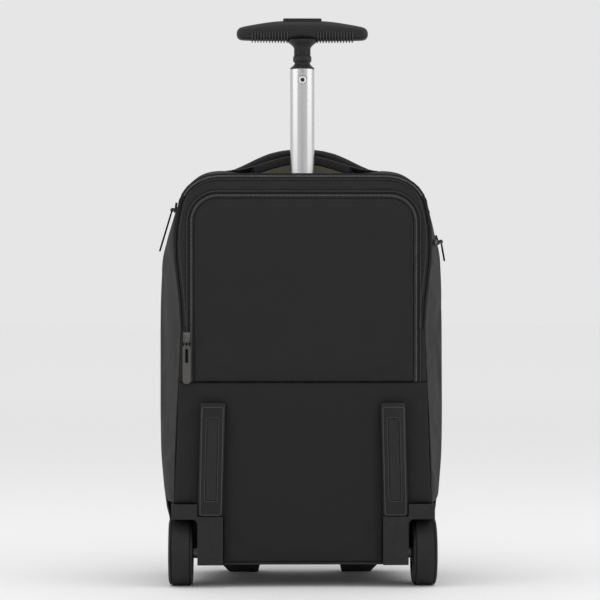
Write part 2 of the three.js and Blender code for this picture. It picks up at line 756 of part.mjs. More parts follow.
function housing() {
  const arc = evenly(0, 1, 4).map((share) => {
    const angle = Math.PI - (share * Math.PI) / 2;
    return {
      x: HOUSING_OUTER_X + HOUSING_FILLET * (1 + Math.cos(angle)),
      z: ARM_BOTTOM - HOUSING_FILLET * (1 - Math.sin(angle)),
    };
  });
  const outline = [
    { x: HOUSING_INNER_X, z: HOUSING_BOTTOM },
    { x: HOUSING_OUTER_X, z: HOUSING_BOTTOM },
    ...arc,
    { x: ARM_END_X, z: ARM_BOTTOM },
    { x: ARM_END_X, z: ARM_TOP },
    { x: HOUSING_OUTER_X, z: ARM_TOP },
    { x: HOUSING_OUTER_X, z: HOUSING_TOP },
    { x: HOUSING_INNER_X, z: HOUSING_TOP },
  ];
  const body = plate(outline, HOUSING_FRONT_Y, HOUSING_BACK_Y);
  const wallTop = ARM_BOTTOM + WALL;
  const wellWall = box(HOUSING_OUTER_X - WALL, ARM_END_X, WELL_Y, HOUSING_BACK_Y, BASE_HEIGHT, wallTop);
  const reach = WHEEL_RADIUS + WHEEL_CLEARANCE;
  const sweep = turnedAboutX([
    { x: HOUSING_OUTER_X + GAP, r: 0 },
    { x: HOUSING_OUTER_X + GAP, r: reach },
    { x: HALF_WIDTH, r: reach },
    { x: HALF_WIDTH, r: 0 },
  ], 2 * ROUND).translate(0, WHEEL_Y, WHEEL_RADIUS);
  return cut(join(body, wellWall), sweep);
}

function axle() {
  const seat = HOUSING_OUTER_X + GAP;
  const shoulder = WHEEL_INNER_X - GAP;
  const headX = WHEEL_INNER_X + WHEEL_WIDTH - HUB_FACE - AXLE_HEAD;
  return turnedAboutX([
    { x: seat, r: 0 },
    { x: seat, r: AXLE_SHOULDER_RADIUS },
    { x: shoulder, r: AXLE_SHOULDER_RADIUS },
    { x: shoulder, r: AXLE_RADIUS },
    { x: headX, r: AXLE_RADIUS },
    { x: headX, r: AXLE_HEAD_RADIUS },
    { x: headX + AXLE_HEAD, r: AXLE_HEAD_RADIUS },
    { x: headX + AXLE_HEAD, r: 0 },
  ]).translate(0, WHEEL_Y, WHEEL_RADIUS);
}

function hub() {
  const rim = WHEEL_RADIUS - TYRE_THICKNESS - GAP;
  const lip = rim - HUB_LIP;
  const bore = AXLE_RADIUS + GAP;
  const boss = 3 * AXLE_RADIUS;
  const inner = WHEEL_INNER_X;
  const outer = WHEEL_INNER_X + WHEEL_WIDTH - HUB_FACE;
  const web = WHEEL_WIDTH / 4;
  const headSeat = outer - AXLE_HEAD - GAP;
  return turnedAboutX([
    { x: inner, r: bore },
    { x: inner, r: boss },
    { x: inner + web, r: boss },
    { x: inner + web, r: lip },
    { x: inner + HUB_FACE, r: lip },
    { x: inner + HUB_FACE, r: rim },
    { x: outer, r: rim },
    { x: outer, r: lip },
    { x: outer - web, r: lip },
    { x: outer - web, r: boss },
    { x: headSeat, r: boss },
    { x: headSeat, r: bore },
    { x: inner, r: bore },
  ], WHEEL_SIDES).translate(0, WHEEL_Y, WHEEL_RADIUS);
}

function tyre() {
  const inside = WHEEL_RADIUS - TYRE_THICKNESS;
  const shoulder = WHEEL_WIDTH * 0.1;
  const drop = TYRE_THICKNESS * 0.22;
  const start = WHEEL_INNER_X + GAP;
  const end = WHEEL_INNER_X + WHEEL_WIDTH;
  return turnedAboutX([
    { x: start, r: inside },
    { x: start, r: WHEEL_RADIUS - drop },
    { x: start + shoulder, r: WHEEL_RADIUS },
    { x: end - shoulder, r: WHEEL_RADIUS },
    { x: end, r: WHEEL_RADIUS - drop },
    { x: end, r: inside },
    { x: start, r: inside },
  ], WHEEL_SIDES).translate(0, WHEEL_Y, WHEEL_RADIUS);
}

function foot() {
  const top = BASE_HEIGHT - GAP - TRAY_THICKNESS - GAP;
  const outer = FOOT_INNER_X + FOOT_WIDTH;
  const outline = [
    { x: FOOT_INNER_X + FOOT_DRAFT, z: 0 },
    { x: outer - FOOT_CHAMFER, z: 0 },
    { x: outer, z: FOOT_CHAMFER },
    { x: outer, z: top },
    { x: FOOT_INNER_X, z: top },
    { x: FOOT_INNER_X, z: FOOT_CHAMFER },
  ];
  const back = FRONT_Y - FOOT_INSET;
  return plate(outline, back - FOOT_DEPTH, back);
}

// Guards are made upright about their own middle, then leaned and placed.

function guardOutline() {
  return roundedRectangle(GUARD_WIDTH, GUARD_LENGTH, GUARD_BEVEL * 2, 2);
}

function guard() {
  const slim = guardOutline().map((p) => ({
    x: p.x * (1 - (2 * GUARD_BEVEL) / GUARD_WIDTH),
    z: p.z * (1 - (2 * GUARD_BEVEL) / GUARD_LENGTH),
  }));
  const rings = [
    [guardOutline(), 0],
    [guardOutline(), GUARD_BEVEL - GUARD_THICKNESS],
    [slim, -GUARD_THICKNESS],
  ].map(([points, y]) => points.map((p) => new THREE.Vector3(p.x, y, p.z)));
  const bevelled = loft(rings);
  const pocket = roundedRectangle(INSET_WIDTH, INSET_LENGTH, 1, 1);
  return cut(bevelled, plate(pocket, -GUARD_THICKNESS - INSET_DEPTH, INSET_DEPTH - GUARD_THICKNESS));
}

function guardInset() {
  const outline = roundedRectangle(INSET_WIDTH - 2 * GAP, INSET_LENGTH - 2 * GAP, 1, 1);
  return plate(outline, GAP / 2 - GUARD_THICKNESS, INSET_DEPTH - GUARD_THICKNESS - GAP);
}

// Trolley handle

function poleTube() {
  const tube = turnedAboutZ([
    { z: POLE_BOTTOM, r: POLE_RADIUS - POLE_WALL },
    { z: POLE_BOTTOM, r: POLE_RADIUS },
    { z: POLE_TOP, r: POLE_RADIUS },
    { z: POLE_TOP, r: POLE_RADIUS - POLE_WALL },
    { z: POLE_BOTTOM, r: POLE_RADIUS - POLE_WALL },
  ], 2 * ROUND).translate(0, POLE_Y, 0);
  const drill = new THREE.CylinderGeometry(SCREW_RADIUS + GAP, SCREW_RADIUS + GAP, POLE_RADIUS, ROUND);
  drill.translate(0, POLE_Y - POLE_RADIUS, POLE_TOP - SCREW_DROP);
  return cut(tube, drill);
}

function screw() {
  const head = new THREE.CylinderGeometry(SCREW_RADIUS, SCREW_RADIUS, SCREW_THICKNESS, ROUND);
  const y = POLE_Y - POLE_RADIUS + SCREW_THICKNESS / 2 + GAP;
  return head.translate(0, y, POLE_TOP - SCREW_DROP);
}

function guideTube() {
  const inner = POLE_RADIUS + GUIDE_CLEARANCE;
  const bottom = BASE_HEIGHT;
  return turnedAboutZ([
    { z: bottom, r: inner },
    { z: bottom, r: inner + GUIDE_WALL },
    { z: GUIDE_TOP, r: inner + GUIDE_WALL },
    { z: GUIDE_TOP, r: inner },
    { z: bottom, r: inner },
  ]).translate(0, POLE_Y, 0);
}

// across is a share of half the grip's width. top and low are shares of its height.

const GRIP_ROWS = [
  { across: 0.0, top: 1.0, low: 0.0, deep: 1.0 },
  { across: 0.28, top: 0.995, low: 0.0, deep: 0.99 },
  { across: 0.48, top: 0.96, low: 0.01, deep: 0.96 },
  { across: 0.68, top: 0.87, low: 0.03, deep: 0.92 },
  { across: 0.84, top: 0.76, low: 0.07, deep: 0.86 },
  { across: 0.94, top: 0.67, low: 0.14, deep: 0.72 },
  { across: 0.985, top: 0.58, low: 0.24, deep: 0.5 },
  { across: 1.0, top: 0.48, low: 0.34, deep: 0.25 },
];

// height is a share of the neck's height, radius a share of the tube's.

const NECK_ROWS = [
  { height: 0.0, radius: 1.0 },
  { height: 0.1, radius: 0.88 },
  { height: 0.23, radius: 0.63 },
  { height: 0.28, radius: 0.73 },
  { height: 0.38, radius: 0.75 },
  { height: 0.49, radius: 0.73 },
  { height: 0.54, radius: 0.64 },
  { height: 0.76, radius: 0.64 },
  { height: 0.9, radius: 0.86 },
  { height: 1.02, radius: 1.1 },
  { height: 1.15, radius: 0.8 },
];

function grip() {
  const half = GRIP_ROWS.map((row) => ({ ...row, side: 1 }));
  const rows = [...half.slice(1).reverse().map((row) => ({ ...row, side: -1 })), ...half];
  const bar = loft(rows.map((row) => {
    const x = (row.side * row.across * GRIP_WIDTH) / 2;
    const top = GRIP_BOTTOM + row.top * GRIP_HEIGHT;
    const low = GRIP_BOTTOM + row.low * GRIP_HEIGHT;
    return evenly(0, 2 * Math.PI, 14).slice(0, -1).map((angle) => {
      const soft = (value) => Math.sign(value) * Math.abs(value) ** 0.8;
      const y = POLE_Y + soft(Math.cos(angle)) * (row.deep * GRIP_DEPTH) / 2;
      return new THREE.Vector3(x, y, (top + low) / 2 + soft(Math.sin(angle)) * (top - low) / 2);
    });
  }));
  const neckRows = NECK_ROWS.map((row) => ({
    z: POLE_TOP + GAP + row.height * (NECK_HEIGHT - GAP),
    r: row.radius * POLE_RADIUS,
  }));
  const ends = [{ z: neckRows[0].z, r: 0 }, { z: neckRows[neckRows.length - 1].z, r: 0 }];
  const neck = turnedAboutZ([ends[0], ...neckRows, ends[1]]).translate(0, POLE_Y, 0);
  const well = box(
    -BUTTON_LENGTH / 2 - BUTTON_CLEARANCE,
    BUTTON_LENGTH / 2 + BUTTON_CLEARANCE,
    POLE_Y - BUTTON_WIDTH / 2 - BUTTON_CLEARANCE,
    POLE_Y + BUTTON_WIDTH / 2 + BUTTON_CLEARANCE,
    GRIP_TOP + BUTTON_PROUD - BUTTON_HEIGHT - BUTTON_TRAVEL - BUTTON_CLEARANCE,
    GRIP_TOP + GRIP_HEIGHT,
  );
  return cut(join(bar, neck), well);
}

function releaseButton() {
  const outline = roundedRectangle(BUTTON_LENGTH, BUTTON_WIDTH, BUTTON_CORNER, 3);
  const top = GRIP_TOP + BUTTON_PROUD;
  const button = plate(outline, -BUTTON_HEIGHT / 2, BUTTON_HEIGHT / 2).rotateX(-Math.PI / 2);
  return button.translate(0, POLE_Y, top - BUTTON_HEIGHT / 2);
}

// Zip hardware. A slider is made with its pull bar along X through the origin, facing -Y.

function slider() {
  const half = SLIDER_WIDTH / 2;
  const back = SLIDER_STANDOFF;
  const low = -PULL_EYE_RADIUS;
  const body = box(-half, half, back - SLIDER_THICKNESS, back, low, low + SLIDER_LENGTH);
  const lug = box(half - LUG_WIDTH, half, -PULL_BAR_RADIUS, back, -PULL_BAR_RADIUS, PULL_EYE_RADIUS);
  const bar = new THREE.CylinderGeometry(PULL_BAR_RADIUS, PULL_BAR_RADIUS, SLIDER_WIDTH - LUG_WIDTH, 10);
  return join(body, lug, mirrored(welded(lug)), bar.rotateZ(Math.PI / 2));
}

// A pull hangs down from the bar. Its tab has a long slot below the eye.

function pullTab(width, length, slotted) {
  const eyeWidth = SLIDER_WIDTH - 2 * LUG_WIDTH - 2 * GAP;
  const eye = new THREE.CylinderGeometry(PULL_EYE_RADIUS - GAP, PULL_EYE_RADIUS - GAP, eyeWidth, 12);
  const hole = new THREE.CylinderGeometry(PULL_BAR_RADIUS + GAP, PULL_BAR_RADIUS + GAP, 2 * eyeWidth, 12);
  const top = -2 * PULL_EYE_RADIUS;
  const halfThick = PULL_THICKNESS / 2;
  const neck = box(-eyeWidth / 2, eyeWidth / 2, -halfThick, halfThick, top - PULL_THICKNESS, 0);
  const middle = (top - length) / 2;
  const outline = roundedRectangle(width, length + top, width * 0.4, 4);
  const tab = plate(outline, -PULL_THICKNESS / 2, PULL_THICKNESS / 2).translate(0, 0, middle);
  const whole = join(eye.rotateZ(Math.PI / 2), neck, tab);
  const bored = cut(whole, hole.rotateZ(Math.PI / 2));
  if (!slotted) {
    return bored;
  }
  const slot = roundedRectangle(PULL_SLOT_WIDTH, PULL_SLOT_LENGTH, PULL_SLOT_WIDTH * 0.4, 2);
  const slotZ = top - PULL_WIDTH / 2 - PULL_SLOT_LENGTH / 2;
  return cut(bored, plate(slot, -PULL_THICKNESS, PULL_THICKNESS).translate(0, 0, slotZ));
}

// Assembly

const backpack = new THREE.Group();

function add(name, finish, geometry, parent = backpack) {
  const solid = new THREE.Mesh(welded(geometry), new THREE.MeshStandardMaterial(FINISHES[finish]));
  solid.name = name;
  parent.add(solid);
  return solid;
}

function addPair(name, finish, geometry) {
  const right = welded(geometry);
  add(`${name}_left`, finish, mirrored(right));
  add(`${name}_right`, finish, right);
}

add('rear_border', 'cloth', rearBorder());
add('strap_flap', 'cloth', strapFlap());
add('flap_zip', 'zip', flapZip());
add('rear_lower_panel', 'smooth_cloth', rearLowerPanel());
add('perimeter_zip', 'zip', perimeterZip());
addPair('side', 'side_cloth', sidePanel());
add('top_panel', 'side_cloth', topPanel());
add('front_panel', 'side_cloth', frontPanel());
add('base_tray', 'plastic', baseTray());
add('side_zip', 'zip', sideZip());
add('slot_binding', 'cloth', slotBinding());
add('slot_lining', 'lining', slotLining());
add('grab_handle', 'cloth', grabHandle());
add('guide_tube', 'plastic', guideTube());
addPair('housing', 'plastic', housing());
addPair('axle', 'plastic', axle());
addPair('hub', 'plastic', hub());
addPair('tyre', 'rubber', tyre());
addPair('foot', 'plastic', foot());

const guardX = (HOUSING_INNER_X + HOUSING_OUTER_X) / 2;
const guardZ = HOUSING_TOP + 2 * GAP + GUARD_LENGTH / 2;
const lean = THREE.MathUtils.degToRad(GUARD_LEAN);
for (const [label, side] of [['left', -1], ['right', 1]]) {
  const mount = new THREE.Group();
  const shift = (Math.sin(lean) * GUARD_LENGTH) / 2;
  mount.position.set(side * (guardX - shift), REAR_Y - GAP, guardZ);
  mount.rotation.y = -side * lean;
  backpack.add(mount);
  add(`guard_${label}`, 'plastic', guard(), mount);
  add(`guard_inset_${label}`, 'plastic', guardInset(), mount);
}

add('pole', 'aluminium', poleTube());
add('screw', 'plastic', screw());
add('grip', 'plastic', grip());
add('release_button', 'plastic', releaseButton());

// Each slider: where its pull bar lies, how it is turned and how far its pull leans out.

const lowZ = ARCHES.near.points[BAND_BASE_STEPS].z - SLIDER_LENGTH;
const highRow = TOP_HALF;
const highPlace = gussetPoint(-highRow, 0.04);
const sideRow = TOP_HALF + SIDE_ZIP_ROWS_OUT;
const sidePlace = gussetPoint(sideRow, 0.42);
const sideNormal = gussetNormal(sideRow, 0.42);
const sideOut = SLIDER_STANDOFF + 3 * GAP + ZIP_THICKNESS;
const slopeOf = (normal) => THREE.MathUtils.radToDeg(Math.asin(normal.z));

const ZIP_PULLS = [
  {
    name: 'low',
    place: new THREE.Vector3(
      FLAP_SHIFT - FLAP_ZIP_HALF,
      REAR_Y - GAP - SLIDER_STANDOFF,
      lowZ,
    ),
    turn: 0,
    tilt: 0,
    lean: 0,
    width: PULL_WIDTH,
    length: PULL_LENGTH,
    slotted: true,
  },
  {
    name: 'high',
    place: new THREE.Vector3(highPlace.x - SLIDER_STANDOFF - 2 * GAP, highPlace.y, highPlace.z),
    turn: -90,
    tilt: 8,
    lean: -16.8,
    width: PULL_WIDTH,
    length: PULL_LENGTH,
    slotted: true,
  },
  {
    name: 'side',
    place: sidePlace.addScaledVector(sideNormal, sideOut),
    turn: 90,
    tilt: slopeOf(sideNormal),
    lean: -10,
    width: SIDE_PULL_WIDTH,
    length: SIDE_PULL_LENGTH,
    slotted: false,
  },
];

for (const pull of ZIP_PULLS) {
  const turned = new THREE.Group();
  turned.position.copy(pull.place);
  turned.rotation.z = THREE.MathUtils.degToRad(pull.turn);
  backpack.add(turned);
  const body = add(`slider_${pull.name}`, 'pull', slider(), turned);
  body.rotation.x = THREE.MathUtils.degToRad(-pull.tilt);
  const tab = add(`pull_${pull.name}`, 'pull', pullTab(pull.width, pull.length, pull.slotted), turned);
  tab.rotation.x = THREE.MathUtils.degToRad(pull.lean);
}

export default backpack;
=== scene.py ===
"""Wheeled backpack: the finished look of the bag, its wheels and its telescopic handle."""

import math
from contextlib import contextmanager

import bmesh
import bpy
import numpy as np
from bpy.props import FloatProperty, IntProperty, PointerProperty
from bpy.types import Operator, Panel, PropertyGroup
from mathutils import Matrix, Vector


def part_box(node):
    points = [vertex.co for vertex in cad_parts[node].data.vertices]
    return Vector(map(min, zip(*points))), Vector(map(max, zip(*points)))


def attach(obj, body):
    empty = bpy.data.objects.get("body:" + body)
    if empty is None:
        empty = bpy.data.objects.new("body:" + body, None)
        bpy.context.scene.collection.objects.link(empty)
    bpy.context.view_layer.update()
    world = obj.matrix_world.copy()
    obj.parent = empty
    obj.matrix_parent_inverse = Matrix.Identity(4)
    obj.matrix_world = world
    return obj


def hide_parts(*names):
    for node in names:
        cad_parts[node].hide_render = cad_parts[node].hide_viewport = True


bl_info = {
    "name": "Wheeled backpack",
    "version": (1, 0, 0),
    "blender": (4, 5, 0),
    "location": "View3D > Sidebar > Backpack",
    "description": "Builds the cloth, plastic, metal and light of a wheeled backpack",
    "category": "Add Mesh",
}

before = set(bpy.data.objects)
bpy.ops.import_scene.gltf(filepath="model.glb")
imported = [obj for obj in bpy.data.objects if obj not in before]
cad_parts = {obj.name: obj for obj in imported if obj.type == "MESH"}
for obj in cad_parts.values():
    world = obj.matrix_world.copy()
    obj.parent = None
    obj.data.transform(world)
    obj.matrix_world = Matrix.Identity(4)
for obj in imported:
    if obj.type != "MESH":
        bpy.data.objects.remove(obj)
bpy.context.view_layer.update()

MM = 0.001


# Working with the scene


def deselect():
    """Leave object mode with nothing selected."""
    if bpy.context.object and bpy.context.object.mode != "OBJECT":
        bpy.ops.object.mode_set(mode="OBJECT")
    bpy.ops.object.select_all(action="DESELECT")


def only(piece):
    """Select and activate one piece alone."""
    deselect()
    piece.select_set(True)
    bpy.context.view_layer.objects.active = piece
    return piece


def mm(*values):
    """A vector in metres from millimetres."""
    return Vector(values) * MM


def added(name):
    """Name the primitive just added and bring its place into its mesh."""
    piece = bpy.context.object
    piece.name = piece.data.name = name
    bpy.ops.object.transform_apply(location=True, rotation=True, scale=True)
    return piece


def block(name, low, high):
    """A box between two corners in millimetres."""
    deselect()
    low, high = mm(*low), mm(*high)
    bpy.ops.mesh.primitive_cube_add(size=1, location=(low + high) / 2, scale=high - low)
    return added(name)


def drum(name, radius, low, high, sides):
    """A cylinder along Y between two end centres in millimetres."""
    deselect()
    low, high = mm(*low), mm(*high)
    bpy.ops.mesh.primitive_cylinder_add(
        vertices=sides, radius=radius * MM, depth=(high - low).length,
        location=(low + high) / 2, rotation=(math.pi / 2, 0, 0),
    )
    return added(name)


@contextmanager
def editing(piece, mode="VERT", action="SELECT"):
    """Edit mode on one piece, with everything or nothing selected, and back to object mode."""
    only(piece)
    bpy.ops.object.mode_set(mode="EDIT")
    bpy.ops.mesh.select_mode(type=mode)
    bpy.ops.mesh.select_all(action=action)
    yield
    bpy.ops.object.mode_set(mode="OBJECT")


def pick(piece, test, kind="faces"):
    """Select the faces, edges or vertices that a test accepts."""
    mesh = bmesh.from_edit_mesh(piece.data)
    for part in getattr(mesh, kind):
        part.select_set(bool(test(part)))
    mesh.select_flush_mode()
    bmesh.update_edit_mesh(piece.data)


def finish_mesh(piece, merge):
    """Merge doubled points and point every face outwards."""
    with editing(piece):
        bpy.ops.mesh.remove_doubles(threshold=merge)
        bpy.ops.mesh.normals_make_consistent(inside=False)
    return piece


def modify(piece, kind, **settings):
    """Add one modifier, set it and apply it."""
    only(piece)
    modifier = piece.modifiers.new(kind.title(), kind)
    for name, value in settings.items():
        setattr(modifier, name, value)
    bpy.ops.object.modifier_apply(modifier=modifier.name)
    return piece


def rounded(piece, width, segments=3, angle=30):
    """Round the edges sharper than an angle, width in millimetres."""
    return modify(
        piece, "BEVEL", width=width * MM, segments=segments,
        limit_method="ANGLE", angle_limit=math.radians(angle), harden_normals=False,
    )


def smooth(piece, levels=1):
    """Subdivide the surface smoothly."""
    return modify(
        piece, "SUBSURF", levels=levels, render_levels=levels,
        boundary_smooth="PRESERVE_CORNERS",
    )


def shaded(piece, angle=35):
    """Shade smooth, with creases kept above an angle."""
    only(piece)
    bpy.ops.object.shade_smooth_by_angle(angle=math.radians(angle))
    return piece


def merged(name, pieces):
    """Join several pieces into the first one."""
    deselect()
    for piece in pieces:
        piece.select_set(True)
    bpy.context.view_layer.objects.active = pieces[0]
    if len(pieces) > 1:
        bpy.ops.object.join()
    pieces[0].name = pieces[0].data.name = name
    return pieces[0]


def linked(name, data):
    """A new object in the scene for a mesh or a curve."""
    piece = bpy.data.objects.new(name, data)
    bpy.context.collection.objects.link(piece)
    return piece


def copied(name, node, clean_angle=1.0):
    """A clean copy of a frame node's mesh as a new piece."""
    deselect()
    piece = linked(name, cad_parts[node].data.copy())
    piece.data.materials.clear()
    with editing(piece):
        bpy.ops.mesh.remove_doubles(threshold=2e-6)
        if clean_angle:
            bpy.ops.mesh.dissolve_limited(angle_limit=math.radians(clean_angle))
    return piece


def turned(name, profile, centre, axis, steps):
    """A body of revolution: a closed profile of (along, radius) in millimetres."""
    deselect()
    bpy.ops.mesh.primitive_circle_add(vertices=len(profile), fill_type="NOTHING")
    piece = bpy.context.object
    piece.name = piece.data.name = name
    centre = mm(*centre)
    axis = Vector(axis)
    side = axis.orthogonal().normalized()
    for vertex, (along, radius) in zip(piece.data.vertices, profile):
        vertex.co = centre + axis * along * MM + side * radius * MM
    with editing(piece):
        bpy.ops.mesh.spin(steps=steps, angle=2 * math.pi, center=centre, axis=axis)
    return finish_mesh(piece, 2e-6)


def repeated(name, model, places):
    """One mesh that holds a copy of a small model at each place, a 4 by 4 matrix."""
    source = model.data
    points = np.array([v.co for v in source.vertices])
    points = np.c_[points, np.ones(len(points))]
    faces = [tuple(p.vertices) for p in source.polygons]
    moved = [points @ np.array(place).T for place in places]
    mesh = bpy.data.meshes.new(name)
    mesh.from_pydata(
        np.concatenate(moved)[:, :3].tolist(), [],
        [tuple(i + k * len(points) for i in face) for k in range(len(places)) for face in faces],
    )
    mesh.update()
    bpy.data.objects.remove(model)
    return linked(name, mesh)


def place(origin, along, out):
    """A place with X along a path and Z pointing out of the surface."""
    along = Vector(along).normalized()
    side = Vector(out).cross(along).normalized()
    out = along.cross(side)
    columns = (along, side, out)
    turn = Matrix(columns).transposed().to_4x4()
    return Matrix.Translation(origin) @ turn


def strip(name, path, radius, closed=False):
    """A cord-like tube along points in metres, radius in millimetres."""
    deselect()
    curve = bpy.data.curves.new(name, "CURVE")
    curve.dimensions = "3D"
    spline = curve.splines.new("POLY")
    spline.points.add(len(path) - 1)
    for point, at in zip(spline.points, path):
        point.co = (*at, 1)
    spline.use_cyclic_u = closed
    curve.bevel_depth = radius * MM
    curve.bevel_resolution = 1
    curve.use_fill_caps = not closed
    piece = only(linked(name, curve))
    bpy.ops.object.convert(target="MESH")
    return finish_mesh(piece, 1e-6)


def along_path(path, pitch):
    """Evenly spaced (point, direction) pairs on a path in metres."""
    points = [Vector(p) for p in path]
    steps = [(b - a).length for a, b in zip(points, points[1:])]
    reach = np.concatenate([[0], np.cumsum(steps)])
    count = max(2, int(reach[-1] / pitch))
    spots = (np.arange(count) + 0.5) * reach[-1] / count
    found = []
    for spot in spots:
        i = min(int(np.searchsorted(reach, spot, side="right")) - 1, len(steps) - 1)
        share = (spot - reach[i]) / max(steps[i], 1e-9)
        way = (points[i + 1] - points[i]).normalized()
        found.append((points[i].lerp(points[i + 1], share), way))
    return found


def painted(piece, finish, body="bag", crease=None, node=None):
    """Give a piece its shading, finish and body, and the node whose place it takes."""
    if crease is not None:
        shaded(piece, crease)
    piece.data.materials.clear()
    piece.data.materials.append(finish_of(finish))
    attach(piece, body)
    if node:
        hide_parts(node)
    return piece


def recast(name, node, finish, body="bag", clean=1.0, bevel=None, crease=35):
    """A node's own form as a finished piece, its edges bevelled by (mm, segments, angle)."""
    piece = copied(name, node, clean)
    if not clean:
        with editing(piece):
            bpy.ops.mesh.tris_convert_to_quads()
    if bevel:
        rounded(piece, *bevel)
    return painted(piece, finish, body, crease, node)


# Finishes: every one is built from nodes on Object coordinates


class Nodes:
    """Adds and joins the nodes of one material."""

    def __init__(self, name, roughness, metallic=0.0, sheen=0.0, specular=0.5):
        self.material = bpy.data.materials.new(name)
        self.material.use_nodes = True
        self.tree = self.material.node_tree
        self.shader = self.tree.nodes["Principled BSDF"]
        self.set(
            self.shader, Roughness=roughness, Metallic=metallic,
            **{"Sheen Weight": sheen, "Sheen Roughness": 0.5, "Specular IOR Level": specular},
        )
        self.coords = self.add("ShaderNodeTexCoord").outputs["Object"]

    def add(self, kind, **settings):
        node = self.tree.nodes.new(kind)
        for name, value in settings.items():
            setattr(node, name, value)
        return node

    def set(self, node, **values):
        for name, value in values.items():
            node.inputs[name].default_value = value

    def link(self, output, socket):
        self.tree.links.new(output, socket)
        return output

    def math(self, operation, a, b=None):
        node = self.add("ShaderNodeMath", operation=operation)
        for socket, value in zip(node.inputs, (a, b)):
            if isinstance(value, (int, float)):
                socket.default_value = value
            elif value is not None:
                self.link(value, socket)
        return node.outputs[0]

    def stretch(self, scale):
        node = self.add("ShaderNodeMapping")
        node.inputs["Scale"].default_value = scale
        self.link(self.coords, node.inputs["Vector"])
        return node.outputs["Vector"]

    def noise(self, scale, detail=3.0, vector=None, roughness=0.55):
        node = self.add("ShaderNodeTexNoise")
        self.set(node, Scale=scale, Detail=detail, Roughness=roughness)
        self.link(vector or self.coords, node.inputs["Vector"])
        return node.outputs["Fac"]

    def wave(self, pitch, direction, distortion):
        """Ridges a pitch apart in millimetres, across one axis."""
        node = self.add("ShaderNodeTexWave", wave_type="BANDS", bands_direction=direction)
        scale = math.pi / 10 / (pitch * MM)
        self.set(node, Scale=scale, Distortion=distortion, Detail=1.0, **{"Detail Scale": 2.0})
        self.link(self.coords, node.inputs["Vector"])
        return node.outputs["Fac"]

    def mix(self, factor, dark, light):
        """From one colour to another by a factor; each is a tuple or an output."""
        node = self.add("ShaderNodeMix", data_type="RGBA")
        self.link(factor, node.inputs[0])
        for socket, colour in ((node.inputs[6], dark), (node.inputs[7], light)):
            if isinstance(colour, tuple):
                socket.default_value = (*colour, 1)
            else:
                self.link(colour, socket)
        return node.outputs[2]

    def between(self, value, low, high, to_low=0.0, to_high=1.0):
        node = self.add("ShaderNodeMapRange")
        self.set(node, **{"From Min": low, "From Max": high, "To Min": to_low, "To Max": to_high})
        self.link(value, node.inputs["Value"])
        return node.outputs["Result"]

    def relief(self, height, depth, strength=1.0, under=None):
        """Raise the surface by a height, on top of another relief if one is given."""
        node = self.add("ShaderNodeBump")
        self.set(node, Distance=depth * MM, Strength=strength)
        self.link(height, node.inputs["Height"])
        if under:
            self.link(under, node.inputs["Normal"])
        self.link(node.outputs["Normal"], self.shader.inputs["Normal"])
        return node.outputs["Normal"]

    def colour(self, output):
        self.link(output, self.shader.inputs["Base Color"])

    def matt(self, output):
        self.link(output, self.shader.inputs["Roughness"])


def shade(level):
    """A linear grey from a display level out of 255."""
    return (level / 255 / 12.92) if level <= 10 else ((level / 255 + 0.055) / 1.055) ** 2.4


def tone(level, tint=(1.0, 1.0, 1.0), lift=1.0):
    """A linear colour from a display level, a tint and a lift."""
    return tuple(shade(level) * part * lift for part in tint)


def threads(nodes, pitch):
    """The height of crossing threads, whichever way a surface faces."""
    facing = nodes.add("ShaderNodeSeparateXYZ")
    nodes.link(nodes.add("ShaderNodeNewGeometry").outputs["True Normal"], facing.inputs[0])
    total = None
    for axis in "XYZ":
        ridge = nodes.wave(pitch, axis, 0.5)
        across = nodes.math("SUBTRACT", 1.0, nodes.math("ABSOLUTE", facing.outputs[axis]))
        part = nodes.math("MULTIPLY", ridge, across)
        total = part if total is None else nodes.math("ADD", total, part)
    return nodes.math("MULTIPLY", total, 0.5)


def woven(
    name, level, pitch, depth, roughness, sheen, tint=(1, 1, 1.01), contrast=0.35, crumple=2.5,
):
    """Woven cloth: threads, a soft mottle, fine loose fibres and shallow crumples in mm."""
    nodes = Nodes(name, roughness, sheen=sheen, specular=0.1)
    weave = threads(nodes, pitch)
    fibre = nodes.noise(1400, 2)
    cloud = nodes.noise(14, 4)
    height = nodes.math("ADD", weave, nodes.math("MULTIPLY", fibre, 0.35))
    shares = nodes.math("MULTIPLY", height, 0.7), nodes.math("MULTIPLY", cloud, 0.3)
    gap_shade_and_mottle = nodes.math("ADD", *shares)
    # Colour follows the threads' height and a random mottle: the low gaps between threads are
    # darker as painted shade.
    dark = tone(level, tint, 1 - contrast)
    light = tone(level, tint, 1 + contrast)
    nodes.colour(nodes.mix(nodes.between(gap_shade_and_mottle, 0.25, 0.8), dark, light))
    nodes.matt(nodes.between(cloud, 0.3, 0.7, roughness - 0.06, roughness + 0.06))
    folds = nodes.relief(nodes.noise(1, 3, nodes.stretch((16, 16, 10)), 0.45), crumple, 0.55)
    nodes.relief(height, depth, 0.8, folds)
    return nodes.material


def ribbed(name, level, pitch, direction, roughness=0.7):
    """Narrow woven tape with ribs across one axis."""
    nodes = Nodes(name, roughness, sheen=0.03, specular=0.15)
    ribs = nodes.wave(pitch, direction, 0.3)
    fibre = nodes.noise(1600, 2)
    height = nodes.math("ADD", ribs, nodes.math("MULTIPLY", fibre, 0.4))
    # Colour follows the ribs' height: the grooves are darker as painted shade and the rib tops
    # paler as a painted highlight.
    dark, light = tone(level, lift=0.65), tone(level, lift=1.3)
    nodes.colour(nodes.mix(nodes.between(height, 0.2, 1.2), dark, light))
    nodes.matt(nodes.between(fibre, 0.3, 0.7, roughness - 0.08, roughness + 0.08))
    nodes.relief(height, 0.15, 0.7)
    return nodes.material


